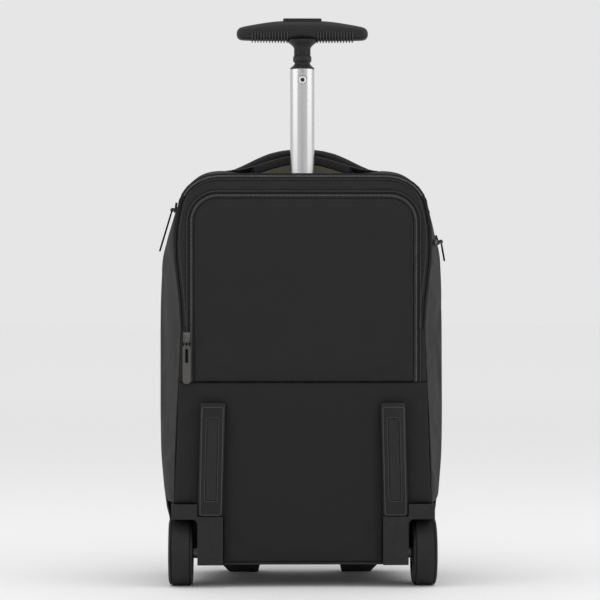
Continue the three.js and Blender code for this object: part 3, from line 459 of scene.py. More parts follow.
def moulded(name, level, grain, depth, roughness, tint=(1, 1, 1), wear=1.35, specular=0.22):
    """Moulded plastic: fine spark grain, slight cloudiness and paler sharp edges, partly rubbing
    and partly a painted highlight where edges catch the light.
    """
    nodes = Nodes(name, roughness, specular=specular)
    speck = nodes.noise(grain, 2)
    cloud = nodes.noise(30, 3)
    edge = nodes.add("ShaderNodeNewGeometry").outputs["Pointiness"]
    sharp = nodes.between(edge, 0.52, 0.6)
    worn_and_lit = nodes.math("MULTIPLY", sharp, nodes.between(nodes.noise(160, 4), 0.35, 0.7))
    dark, light = tone(level, tint, 0.96), tone(level, tint, 1.04)
    plain = nodes.mix(nodes.between(cloud, 0.3, 0.7), dark, light)
    # Sharp edges are painted paler: partly rubbing, partly a painted highlight of light catching
    # them.
    nodes.colour(nodes.mix(worn_and_lit, plain, tone(level, tint, wear)))
    both = nodes.math("ADD", speck, cloud)
    nodes.matt(nodes.between(both, 0.7, 1.3, roughness - 0.08, roughness + 0.08))
    nodes.relief(speck, depth, 0.6)
    return nodes.material


def rubber(name, level):
    """Tyre rubber with scuffs and a little floor dust."""
    nodes = Nodes(name, 0.75, specular=0.15)
    scuff = nodes.noise(1, 4, nodes.stretch((260, 70, 70)))
    dust = nodes.noise(90, 5)
    dusty = nodes.math("MULTIPLY", nodes.between(dust, 0.55, 0.8), 0.18)
    plain = nodes.mix(nodes.between(scuff, 0.3, 0.7), tone(level), tone(level + 5))
    nodes.colour(nodes.mix(dusty, plain, tone(84, (1.0, 0.98, 0.94))))
    nodes.matt(nodes.between(scuff, 0.3, 0.7, 0.62, 0.85))
    nodes.relief(nodes.math("ADD", scuff, nodes.noise(900, 2)), 0.12, 0.6)
    return nodes.material


def aluminium(name, _):
    """Satin anodised tube, drawn along its length, with faint rub marks."""
    nodes = Nodes(name, 0.34, metallic=1.0)
    drawn = nodes.noise(1, 4, nodes.stretch((900, 900, 14)))
    rubbed = nodes.noise(1, 3, nodes.stretch((60, 60, 8)))
    dark, light = (0.57, 0.57, 0.575), (0.6, 0.6, 0.605)
    nodes.colour(nodes.mix(nodes.between(drawn, 0.3, 0.7), dark, light))
    nodes.matt(nodes.between(nodes.math("ADD", drawn, rubbed), 0.7, 1.3, 0.27, 0.32))
    nodes.relief(drawn, 0.003, 0.25)
    return nodes.material


def painted_metal(name, level, roughness, metallic):
    """Small die-cast metal with a dark plating whose sharp edges are painted much paler: partly
    rubbed plating, partly a painted highlight.
    """
    nodes = Nodes(name, roughness, metallic=metallic)
    patch = nodes.noise(400, 3)
    edge = nodes.add("ShaderNodeNewGeometry").outputs["Pointiness"]
    dark, light = tone(level, lift=0.85), tone(level, lift=1.15)
    plain = nodes.mix(nodes.between(patch, 0.3, 0.7), dark, light)
    # Sharp edges lifted to twice the level: partly rubbed plating, partly a painted highlight.
    nodes.colour(nodes.mix(nodes.between(edge, 0.53, 0.62), plain, tone(level, lift=2.0)))
    nodes.matt(nodes.between(patch, 0.3, 0.7, roughness - 0.08, roughness + 0.1))
    nodes.relief(patch, 0.02, 0.4)
    return nodes.material


def pale_floor():
    """Pale studio floor, a touch darker close to the bag as painted shade."""
    nodes = Nodes("studio_floor", 0.9, specular=0.2)
    away = nodes.add("ShaderNodeVectorMath", operation="LENGTH")
    nodes.link(nodes.coords, away.inputs[0])
    near = nodes.between(away.outputs["Value"], 0.3, 6.0)
    speck = nodes.noise(300, 2)
    # Painted shade: the floor is darker near the bag.
    nodes.colour(nodes.mix(near, (0.89, 0.89, 0.89), (0.99, 0.99, 0.99)))
    nodes.relief(speck, 0.02, 0.2)
    return nodes.material


def black_flag():
    """Matt black cloth of the screen that stands behind the camera."""
    nodes = Nodes("flag_cloth", 0.95, specular=0.05)
    nap = nodes.between(nodes.noise(200, 3), 0.3, 0.7)
    nodes.colour(nodes.mix(nap, (0.006, 0.006, 0.006), (0.012, 0.012, 0.012)))
    return nodes.material


# Each row: how it is made, its grey level or the panel's name for it, then its further settings.
FINISHES = {
    "flap_cloth": (woven, "flap", dict(pitch=1.15, depth=0.3, roughness=0.8, sheen=0.03)),
    "border_cloth": (woven, "border", dict(pitch=1.0, depth=0.2, roughness=0.8, sheen=0.03)),
    "lower_cloth": (
        woven, "lower", dict(pitch=0.8, depth=0.08, roughness=0.62, sheen=0.02, contrast=0.2),
    ),
    "gusset_cloth": (
        woven, "gusset", dict(pitch=1.0, depth=0.18, roughness=0.82, sheen=0.04, crumple=7.0),
    ),
    "front_cloth": (
        woven, "front", dict(pitch=1.15, depth=0.3, roughness=0.8, sheen=0.03, crumple=7.0),
    ),
    "handle_cloth": (woven, "handle", dict(pitch=1.3, depth=0.25, roughness=0.75, sheen=0.04)),
    "lining_cloth": (
        woven, 92, dict(pitch=0.7, depth=0.08, roughness=0.7, sheen=0.08, tint=(1, 0.95, 0.66)),
    ),
    "zip_tape": (ribbed, 30, dict(pitch=1.2, direction="Z")),
    "piping": (ribbed, 56, dict(pitch=1.2, direction="Z")),
    "seam_cord": (ribbed, 34, dict(pitch=1.2, direction="Z")),
    "binding": (ribbed, 42, dict(pitch=1.4, direction="X")),
    "stitching": (ribbed, 50, dict(pitch=0.5, direction="Z", roughness=0.75)),
    "zip_coil": (moulded, "coil", dict(grain=900, depth=0.02, roughness=0.45, specular=0.3)),
    "housing_plastic": (moulded, "base", dict(grain=1100, depth=0.05, roughness=0.5)),
    # The guards' edges take a stronger lift, mostly a painted highlight; the rim strips are painted
    # paler as a painted highlight.
    "guard_plastic": (moulded, "guard", dict(grain=1000, depth=0.06, roughness=0.5, wear=1.9)),
    "inset_plastic": (moulded, 36, dict(grain=700, depth=0.1, roughness=0.6)),
    "edge_plastic": (moulded, 50, dict(grain=1300, depth=0.04, roughness=0.42, specular=0.4)),
    "hub_plastic": (moulded, 44, dict(grain=900, depth=0.05, roughness=0.5)),
    "foot_plastic": (moulded, 38, dict(grain=900, depth=0.06, roughness=0.55)),
    "grip_plastic": (moulded, "grip", dict(grain=1300, depth=0.05, roughness=0.48)),
    # Finger ribs painted paler than the bar: a painted highlight on their ridges.
    "rib_plastic": (moulded, 51, dict(grain=1300, depth=0.04, roughness=0.42, specular=0.4)),
    "button_plastic": (moulded, 34, dict(grain=1300, depth=0.03, roughness=0.4)),
    # Near-black for the pull's hole and the floor of its slot: painted shade.
    "slot_floor": (moulded, 12, dict(grain=1200, depth=0.04, roughness=0.8, specular=0.05)),
    "pull_rubber": (moulded, 80, dict(grain=1200, depth=0.04, roughness=0.5, tint=(1, 0.97, 0.93))),
    "dark_pull": (moulded, 20, dict(grain=1200, depth=0.04, roughness=0.7, specular=0.06)),
    "wheel_rubber": (rubber, 39, dict()),
    "pole_aluminium": (aluminium, None, dict()),
    "screw_steel": (painted_metal, 215, dict(roughness=0.5, metallic=0.8)),
    "slider_metal": (painted_metal, 34, dict(roughness=0.5, metallic=0.3)),
    "bright_metal": (painted_metal, 66, dict(roughness=0.42, metallic=0.4)),
    "bolt_steel": (painted_metal, 82, dict(roughness=0.35, metallic=0.9)),
}
MADE = {}


def finish_of(name):
    """A finish from the table, made the first time that a piece asks for it."""
    if name not in MADE:
        make, level, settings = FINISHES[name]
        if isinstance(level, str):
            level = getattr(bpy.context.scene.backpack_colours, level)
        MADE[name] = make(name, level, **settings)
    return MADE[name]


# Sizes and colours that a user may change


def level_of(name, text, default):
    """A grey level of one finish, as a screen shows it."""
    description = f"{text}, from 0 for black to 255 for white"
    return IntProperty(name=name, description=description, default=default, min=5, max=250)


def length_of(name, text, default, low=0.0, high=0.006):
    """A small length in metres."""
    return FloatProperty(
        name=name, description=text, default=default, min=low, max=high, unit="LENGTH", precision=4,
    )


class BackpackColours(PropertyGroup):
    """Grey levels of the cloth, the zips and the plastics"""

    flap: level_of("Flap", "Padded cloth of the flap", 39)
    border: level_of("Border", "Cloth round the flap", 41)
    lower: level_of("Lower panel", "Smooth cloth under the flap", 36)
    gusset: level_of("Sides and top", "Cloth of the sides and the top", 43)
    front: level_of("Front", "Cloth of the domed front", 43)
    handle: level_of("Grab handle", "Webbing of the grab handle", 47)
    coil: level_of("Zip coils", "Nylon coils of the zips", 92)
    base: level_of("Wheel housings", "Plastic of the housings and the tray", 34)
    guard: level_of("Skid guards", "Plastic of the skid guards", 30)
    grip: level_of("T-handle", "Plastic of the T-handle", 38)


class BackpackSizes(PropertyGroup):
    """Sizes of the soft forms, the seams and the small moulded parts"""

    cloth: length_of("Cloth thickness", "Thickness of the cloth walls", 0.002, 0.0005, 0.003)
    cell: length_of("Cloth cell", "Size of the cells of the cloth sheets", 0.006, 0.003, 0.02)
    flap_swell: length_of("Flap swell", "How far the flap's padding may swell", 0.0022)
    side_swell: length_of("Side swell", "How far the sides and top may swell", 0.002, high=0.004)
    front_swell: length_of("Front swell", "How far the front panel may swell", 0.0025)
    coil_pitch: length_of("Coil pitch", "Distance between two bars of a zip coil", 0.0015, 0.001)
    stitch: length_of("Stitch length", "Length of one lockstitch", 0.0024, 0.0015)
    rib_proud: length_of("Finger ribs", "How far the ribs stand out", 0.0021, high=0.003)
    ribs: IntProperty(
        name="Ribs a side", description="Finger ribs on each side of the neck",
        default=13, min=0, max=13,
    )
    spokes: IntProperty(
        name="Spokes", description="Ribs in the dish of each hub", default=5, min=0, max=9,
    )


class BackpackLight(PropertyGroup):
    """Light and camera of the studio"""

    air: FloatProperty(
        name="Air", description="Strength of the even light all round", default=0.79, min=0,
    )
    side: FloatProperty(
        name="Side lights", description="Power of each side panel",
        default=11.0, min=0, unit="POWER",
    )
    top: FloatProperty(
        name="Top light", description="Power of the panel overhead",
        default=7.0, min=0, unit="POWER",
    )
    lens: FloatProperty(
        name="Lens", description="Focal length", default=152.5, min=10, unit="CAMERA",
    )
    distance: length_of("Distance", "Camera to the rear face", 3.0, 0.5, 50.0)
    camera_height: length_of("Camera height", "Camera above the floor", 0.3394, -5.0, 50.0)
    camera_side: length_of("Camera side", "Camera to the right of the middle", -0.065, -50.0, 50.0)
    camera_turn: FloatProperty(
        name="Camera turn", description="How far the camera looks to the right",
        default=math.radians(1.174), subtype="ANGLE",
    )


# Soft pieces: sheets cut from the frame's walls, swelled between their seams and given thickness


HEART = Vector((0, 0, 0.24))


def outward_of_loop(face):
    """True for a face of the wall round the sides and top that looks away from the inside."""
    away = face.calc_center_median() - HEART
    away.y = 0
    return face.normal.dot(away.normalized()) > 0.35 and abs(face.normal.y) < 0.9


def skin(name, node, keep):
    """The outer face of a cloth wall, as one open sheet."""
    piece = copied(name, node, 0)
    with editing(piece, "FACE", "DESELECT"):
        pick(piece, lambda face: not keep(face))
        bpy.ops.mesh.delete(type="FACE")
        bpy.ops.mesh.select_all(action="SELECT")
        bpy.ops.mesh.tris_convert_to_quads(
            face_threshold=math.radians(50), shape_threshold=math.radians(80),
        )
    return piece


def sheet_of(name, node, keep, axis, pitch):
    """The outer face of a wall as an even grid: flattened along an axis, cut, and wrapped back."""
    form = skin(f"{name}_form", node, keep)
    piece = skin(name, node, keep)
    low, high = corners_of(piece)
    middle = Vector((low + high) / 2)
    scale = [0.9996, 0.9996, 0.9996]
    scale[axis] = 0.0
    flat = Matrix.Diagonal((*scale, 1))
    piece.data.transform(Matrix.Translation(middle) @ flat @ Matrix.Translation(-middle))
    with editing(piece, "FACE"):
        bpy.ops.mesh.dissolve_limited(angle_limit=math.radians(2))
        gridded(piece, pitch, [k for k in (0, 1, 2) if k != axis])
    modify(
        piece, "SHRINKWRAP", target=form, wrap_method="PROJECT", use_positive_direction=True,
        use_negative_direction=True, **{f"use_project_{'xyz'[axis]}": True},
    )
    bpy.data.objects.remove(form)
    with editing(piece, action="DESELECT"):
        pick(piece, lambda point: not point.is_boundary, "verts")
        bpy.ops.mesh.vertices_smooth(factor=0.5, repeat=10)
        if not faces_outwards(piece):
            bpy.ops.mesh.select_all(action="SELECT")
            bpy.ops.mesh.flip_normals()
    return piece


def faces_outwards(piece):
    """True if a sheet in edit mode faces away from the inside of the bag."""
    mesh = bmesh.from_edit_mesh(piece.data)
    ways = (f.normal.dot(f.calc_center_median() - HEART) * f.calc_area() for f in mesh.faces)
    return sum(ways) > 0


def gridded(piece, pitch, axes):
    """Cut a sheet in edit mode along even steps in two directions."""
    low, high = corners_of(piece)
    for axis in axes:
        count = max(1, round((high[axis] - low[axis]) / (pitch * MM)))
        for k in range(1, count):
            at, way = Vector((0, 0, 0)), Vector((0, 0, 0))
            at[axis] = low[axis] + (high[axis] - low[axis]) * k / count
            way[axis] = 1
            bpy.ops.mesh.select_all(action="SELECT")
            bpy.ops.mesh.bisect(plane_co=at, plane_no=way)
    bpy.ops.mesh.select_all(action="SELECT")
    bpy.ops.mesh.remove_doubles(threshold=0.0004)


def corners_of(piece):
    """The lowest and highest corners of one piece's mesh, in edit mode or out of it."""
    if piece.mode == "EDIT":
        points = [v.co.copy() for v in bmesh.from_edit_mesh(piece.data).verts]
    else:
        points = [v.co for v in piece.data.vertices]
    points = np.array(points)
    return points.min(0), points.max(0)


def held_points(piece, also=None):
    """The indices of the points at a sheet's open edges, and of any others that a test accepts."""
    mesh = bmesh.new()
    mesh.from_mesh(piece.data)
    held = {v.index for v in mesh.verts if v.is_boundary or (also and also(v.co))}
    mesh.free()
    return sorted(held)


def swelled(piece, pressure, cap, also_held=None, slack=0.015):
    """Let a sheet swell between the seams that hold it, moving no point past a cap in metres."""
    held = held_points(piece, also_held)
    if cap <= 0:
        return piece
    before = np.array([v.co for v in piece.data.vertices])
    seams = piece.vertex_groups.new(name="seams")
    seams.add(held, 1.0, "REPLACE")
    only(piece)
    cloth = piece.modifiers.new("Cloth", "CLOTH")
    settings = cloth.settings
    settings.quality = 6
    settings.mass = 0.3
    settings.tension_stiffness = settings.compression_stiffness = 12.0
    settings.shear_stiffness = 5
    settings.bending_stiffness = 0.6
    settings.vertex_group_mass = seams.name
    settings.use_pressure = True
    settings.uniform_pressure_force = pressure
    settings.shrink_min = -slack
    settings.effector_weights.gravity = 0
    cloth.collision_settings.use_self_collision = False
    scene = bpy.context.scene
    for number in range(1, 21):
        scene.frame_set(number)
    bpy.ops.object.modifier_apply(modifier=cloth.name)
    piece.vertex_groups.clear()
    scene.frame_set(1)
    after = np.array([v.co for v in piece.data.vertices])
    move = after - before
    reach = np.linalg.norm(move, axis=1, keepdims=True)
    limited = np.minimum(reach, cap * np.tanh(reach / cap))
    after = before + move * limited / np.maximum(reach, 1e-9)
    piece.data.vertices.foreach_set("co", after.astype(np.float32).ravel())
    piece.data.update()
    return piece


def domed(piece, height, edge, also_held=None):
    """Lift a rear sheet, from nothing at its seams to a height in mm further in."""
    held = held_points(piece, also_held)
    points = np.array([v.co for v in piece.data.vertices])
    rim = points[held]
    away = np.array([np.sqrt(((rim - p) ** 2).sum(1).min()) for p in points])
    share = np.clip(away / (edge * MM), 0, 1)
    points[:, 1] -= height * MM * (1 - (1 - share) ** 2)
    piece.data.vertices.foreach_set("co", points.astype(np.float32).ravel())
    piece.data.update()


def sewn(piece, finish, node):
    """Give a sheet its thickness inwards and its finish, as the padded cloth of a node."""
    modify(
        piece, "SOLIDIFY", thickness=sizes().cloth, offset=-1, use_even_offset=True, use_rim=True,
        edge_crease_rim=0.2, edge_crease_outer=0.25, edge_crease_inner=0.25,
    )
    smooth(piece)
    painted(piece, finish, crease=50, node=node)


SEAM_FOOT = 0.031
SEAM_STEP = 0.003
SHOULDER_FOOT = 0.38
SHOULDER_REACH = 0.0968


def seam_path(pieces, seam_y):
    """The points of the loop's edge at one depth, from the left foot over the top to the right."""
    found = []
    for piece in pieces:
        for k in held_points(piece):
            point = piece.data.vertices[k].co
            if abs(point.y - seam_y) < 0.0015 and point.z > SEAM_FOOT:
                found.append(point.copy())
    found.sort(key=lambda p: math.atan2(p.x, p.z - HEART.z))
    kept = found[:1]
    for point in found[1:]:
        if (point - kept[-1]).length > SEAM_STEP:
            kept.append(point)
    return kept


def shoulder_path(piece):
    """The points of a side sheet's upper edge, from the rear seam to the front one."""
    points = [piece.data.vertices[k].co.copy() for k in held_points(piece)]
    upper = [p for p in points if p.z > SHOULDER_FOOT and abs(p.y) < SHOULDER_REACH]
    for way in (-1, 1):
        corner = max((p for p in points if p.y * way > SHOULDER_REACH), key=lambda p: p.z)
        upper.append(corner + mm(0, 0, 0.6))
    return sorted(upper, key=lambda p: p.y)


def offset_path(path, inwards, y):
    """A path in the plane of the rear face, moved towards the inside by some mm."""
    moved = []
    for k, point in enumerate(path):
        before, after = path[max(0, k - 1)], path[min(len(path) - 1, k + 1)]
        along = (after - before).normalized()
        side = Vector((along.z, 0, -along.x)).normalized()
        moved.append(Vector((point.x, 0, point.z)) + side * inwards * MM + Vector((0, y * MM, 0)))
    return moved


def coil(name, path, width, out=(0, -1, 0)):
    """Zip coil: small rounded bars across a path."""
    tooth = block("tooth", (-0.42, -width / 2, -0.15), (0.42, width / 2, 0.75))
    rounded(tooth, 0.3, 1)
    spots = [place(at, along, out) for at, along in along_path(path, sizes().coil_pitch)]
    teeth = repeated(name, tooth, spots)
    return painted(teeth, "zip_coil", crease=50)


def sizes():
    """The sizes of the panel."""
    return bpy.context.scene.backpack_sizes


def nearest(point, pieces):
    """The closest point of several pieces and the way that their surface faces there."""
    found = [piece.closest_point_on_mesh(point) for piece in pieces]
    _, at, way, _ = min(found, key=lambda hit: (hit[1] - point).length)
    return at, way


STITCH_GAP = 1.0
STITCH_LIFT = 0.15


def stitches(name, path, pieces):
    """A row of lockstitches along a path on the pieces they hold, each a short flattened bead."""
    length = sizes().stitch / MM
    bead = block("bead", (-length / 2, -0.32, -0.3), (length / 2, 0.32, 0.3))
    rounded(bead, 0.24, 1)
    spots = []
    for point, along in along_path(path, (length + STITCH_GAP) * MM):
        at, way = nearest(point, pieces)
        spots.append(place(at + way * STITCH_LIFT * MM, along, way))
    return repeated(name, bead, spots)


REAR = -100.0
REAR_SEAM = -97.7
FRONT_SEAM = 98.0
FLAP = {"left": -128.8, "right": 130.8, "foot": 242.9, "top": 459.8, "radius": 28.0}


def flap_arch(out, y):
    """The flap's outline moved outwards by some mm: an upside-down U, as points in metres."""
    left, right, top = FLAP["left"] - out, FLAP["right"] + out, FLAP["top"] + out
    foot, radius = FLAP["foot"], FLAP["radius"] + out
    turns = [math.pi / 2 * k / 14 for k in range(1, 15)]
    points = [(left, z) for z in np.linspace(foot, top - radius, 24)]
    for turn in turns:
        points.append((left + radius * (1 - math.cos(turn)), top - radius * (1 - math.sin(turn))))
    points += [(x, top) for x in np.linspace(left + radius, right - radius, 24)[1:]]
    for turn in turns:
        points.append((right - radius * (1 - math.sin(turn)), top - radius * (1 - math.cos(turn))))
    points += [(right, z) for z in np.linspace(top - radius, foot, 24)[1:]]
    return [mm(x, y, z) for x, z in points]


def under_guard(point):
    """True for a point that a skid guard presses on."""
    x, z = abs(point.x) / MM, point.z / MM
    return 88 < x < 128 and z < 222


class BACKPACK_OT_rear_face(Operator):
    """Sew the padded flap, its border and the smooth lower panel of the rear face"""

    bl_idname = "backpack.rear_face"
    bl_label = "Rear face"

    def execute(self, context):
        for name, node, cell, pressure, cap, lift, edge, held, cloth, slot, soft in (
            (
                "flap_pad", "strap_flap", 5.5, 3.0, sizes().flap_swell, 1.6, 16, None,
                "flap_cloth", "main_cloth", 0.5,
            ),
            (
                "border_cloth", "rear_border", 5.0, 0.0, 0.0, 1.4, 9, None,
                "border_cloth", "main_cloth", 0.4,
            ),
            (
                "lower_panel_cloth", "rear_lower_panel", 6.0, 2.0, 0.0016, 1.4, 20, under_guard,
                "lower_cloth", "smooth_cloth", 0.4,
            ),
        ):
            panel = sheet_of(name, node, lambda face: face.normal.y < -0.9, 1, cell)
            swelled(panel, pressure, cap, held)
            domed(panel, lift, edge, held)
            sewn(panel, cloth, node)
        return {"FINISHED"}


class BACKPACK_OT_loop(Operator):
    """Sew the soft wall round the sides and the top, with its seams"""

    bl_idname = "backpack.loop"
    bl_label = "Sides and top"

    def execute(self, context):
        sheets = {}
        for node, axis in (("side_left", 0), ("side_right", 0), ("top_panel", 2)):
            cell = sizes().cell / MM
            sheets[node] = sheet_of(f"{node}_cloth", node, outward_of_loop, axis, cell)
        seams = {}
        for name, depth, radius in (("rear_seam", REAR_SEAM, 0.9), ("front_seam", FRONT_SEAM, 1.3)):
            path = seams[name] = seam_path(sheets.values(), depth * MM)
            cord = strip(name, path, radius)
            painted(cord, "seam_cord", crease=60)
            inwards = offset_path(path, 4.6, depth - math.copysign(3.4, depth))
            inside = strip(f"{name}_binding", inwards, 3.2)
            painted(inside, "binding", crease=60)
        outline = [p for p in seam_path(sheets.values(), REAR_SEAM * MM) if p.z > 0.306]
        over = [p for p in outline if p.z > 0.455]
        coil("perimeter_zip_coil", offset_path(over, 2.9, -101.1), 2.2)
        lip = strip("perimeter_lip", offset_path(outline, 6.4, -100.6), 0.8)
        painted(lip, "piping", crease=60)
        for node in ("side_left", "side_right"):
            path = shoulder_path(sheets[node])
            cord = strip(f"{node}_shoulder_seam", path, 1.3)
            painted(cord, "gusset_cloth", crease=60)
            inwards = mm(-math.copysign(4.2, path[0].x), 0, -1.0)
            inside = strip(f"{node}_shoulder_binding", [p + inwards for p in path], 4.0)
            painted(inside, "binding", crease=60)
        for node, piece in sheets.items():
            swelled(piece, 1.5, sizes().side_swell, slack=0.03)
            sewn(piece, "gusset_cloth", node)
        rows = [
            stitches(f"{name}_row", [p + mm(0, step, 0) for p in seams[name]], sheets.values())
            for name, step in (("rear_seam", 5.5), ("front_seam", -5.5))
        ]
        row = merged("gusset_stitching", rows)
        painted(row, "stitching", crease=60)
        return {"FINISHED"}


class BACKPACK_OT_front(Operator):
    """Sew the domed front panel"""

    bl_idname = "backpack.front"
    bl_label = "Front panel"

    def execute(self, context):
        cell = sizes().cell / MM
        panel = sheet_of(
            "front_panel_cloth", "front_panel", lambda face: face.normal.y > 0.1, 1, cell,
        )
        edge = [panel.data.vertices[k].co.copy() for k in held_points(panel)]
        edge = [p for p in edge if p.z > 0.034]
        edge.sort(key=lambda p: math.atan2(p.x, p.z - HEART.z))
        swelled(panel, 1.5, sizes().front_swell, slack=0.03)
        sewn(panel, "front_cloth", "front_panel")
        row = stitches("front_stitching", offset_path(edge, 6.5, 99.5), [panel])
        painted(row, "stitching", crease=60)
        return {"FINISHED"}


# Zips, seams and the top of the bag


def side_zip_line(tape):
    """The middle of the zip tape on the right side, on its outer face."""
    points = np.array([v.co for v in tape.data.vertices])
    height = np.poly1d(np.polyfit(points[:, 1], points[:, 2], 4))
    line = []
    for y in np.linspace(points[:, 1].min() + 0.004, points[:, 1].max() - 0.004, 70):
        hit, at, _, _ = tape.ray_cast((0.3, y, height(y)), (-1, 0, 0))
        if hit:
            line.append(at.copy())
    return line


class BACKPACK_OT_zips(Operator):
    """Lay the zip tapes, their coils, the piping beside them and their stitching"""

    bl_idname = "backpack.zips"
    bl_label = "Zips and piping"

    def execute(self, context):
        recast("flap_zip_tape", "flap_zip", "zip_tape", crease=30)
        coil("flap_zip_coil", flap_arch(3.1, REAR + 0.1), 2.3)
        for name, out, back, radius, finish, slot in (
            ("flap_lip", 1.0, -0.6, 0.55, "piping", "binding"),
            ("border_lip", 8.2, -0.2, 0.85, "piping", "binding"),
            ("flap_binding", 0.2, 1.7, 1.5, "zip_tape", "zip_tape"),
        ):
            cord = strip(name, flap_arch(out, REAR + back), radius)
            painted(cord, finish, crease=60)
        cloth = [bpy.data.objects[name] for name in ("flap_pad", "border_cloth")]
        rows = [
            stitches("flap_stitch", flap_arch(-3.2, REAR - 3.0), cloth),
            stitches("border_stitch", flap_arch(11.0, REAR - 1.2), cloth),
        ]
        row = merged("rear_stitching", rows)
        painted(row, "stitching", crease=60)
        recast(
            "perimeter_zip_tape", "perimeter_zip", "zip_tape",
            bevel=(0.6, 2, 40), crease=40,
        )
        tape = recast("side_zip_tape", "side_zip", "zip_tape", clean=0.5, crease=30)
        coil("side_zip_coil", side_zip_line(tape), 2.6, (1, 0, 0))
        return {"FINISHED"}


class BACKPACK_OT_top(Operator):
    """Sew the handle slot's binding and lining and the padded grab handle"""

    bl_idname = "backpack.top"
    bl_label = "Handle slot and grab handle"

    def execute(self, context):
        recast(
            "slot_binding_strip", "slot_binding", "binding",
            clean=0, bevel=(0.4, 2, 40), crease=50,
        )
        path = [
            mm(x, -39.6, 494.9 + 18 * math.cos(math.pi * x / 180) ** 2)
            for x in np.linspace(-84, 84, 60)
        ]
        painted(strip("slot_lip", path, 1.3), "piping", crease=60)
        recast("slot_lining_cloth", "slot_lining", "lining_cloth", clean=0, crease=50)

        handle = copied("grab_handle_pad", "grab_handle", 0)
        modify(handle, "REMESH", mode="VOXEL", voxel_size=0.003)
        with editing(handle):
            bpy.ops.mesh.vertices_smooth(factor=0.5, repeat=4)
        for vertex in handle.data.vertices:
            share = (abs(vertex.co.x) / MM - 14) / 74
            if 0 < share < 1 and vertex.normal.z < 0:
                vertex.co.z += 6.5 * MM * math.sin(math.pi * share) * vertex.normal.z
        smooth(handle)
        painted(handle, "handle_cloth", crease=60, node="grab_handle")
        return {"FINISHED"}


def pull_pieces(label, finish, metal="slider_metal"):
    """The slider and the pull tab of one zip."""
    node = f"slider_{label}"
    recast(f"{node}_body", node, metal, bevel=(0.35, 2, 30), crease=40)
    node, body = f"pull_{label}", f"{label}_pull"
    recast(f"{node}_tab", node, finish, body, bevel=(0.4, 2, 35), crease=40)


def pull_eye(label, body):
    """The metal eye at the top of a hanging tab, with a dark disc in its hole and a dark plate on
    the floor of its slot as painted shade.
    """
    low, high = (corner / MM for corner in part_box(f"pull_{label}"))
    middle, front, level = (low.x + high.x) / 2, low.y, high.z - 6.6
    deselect()
    bpy.ops.mesh.primitive_torus_add(
        location=mm(middle, front + 0.25, level), rotation=(math.pi / 2, 0, 0),
        major_segments=40, minor_segments=12, major_radius=2.0 * MM, minor_radius=0.45 * MM,
    )
    painted(added(f"pull_{label}_eye"), "bright_metal", body, 35)
    # Painted shade: a dark disc fills the eye's hole and a dark plate lies on the floor of the
    # tab's slot.
    ends = [(middle, front + depth, level) for depth in (-0.1, 0.6)]
    pin = drum(f"pull_{label}_hole", 1.6, *ends, 32)
    corners = (middle - 1.5, front + 0.5, 265.6), (middle + 1.5, front + 0.8, 281.5)
    floor = block("floor_of_slot", *corners)
    dark = merged(f"pull_{label}_hole", [pin, floor])
    rounded(dark, 0.1, 1)
    painted(dark, "slot_floor", body, 35)


class BACKPACK_OT_pulls(Operator):
    """Cast the sliders and mould their pull tabs"""

    bl_idname = "backpack.pulls"
    bl_label = "Zip pulls"

    def execute(self, context):
        pull_pieces("low", "pull_rubber", "bright_metal")
        pull_eye("low", "low_pull")
        pull_pieces("high", "dark_pull")
        pull_pieces("side", "dark_pull")
        return {"FINISHED"}


# Rigid pieces


def faces_of(node):
    """How far a node's inner and outer faces are from the bag's middle, in millimetres."""
    return sorted(abs(corner.x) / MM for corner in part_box(node))


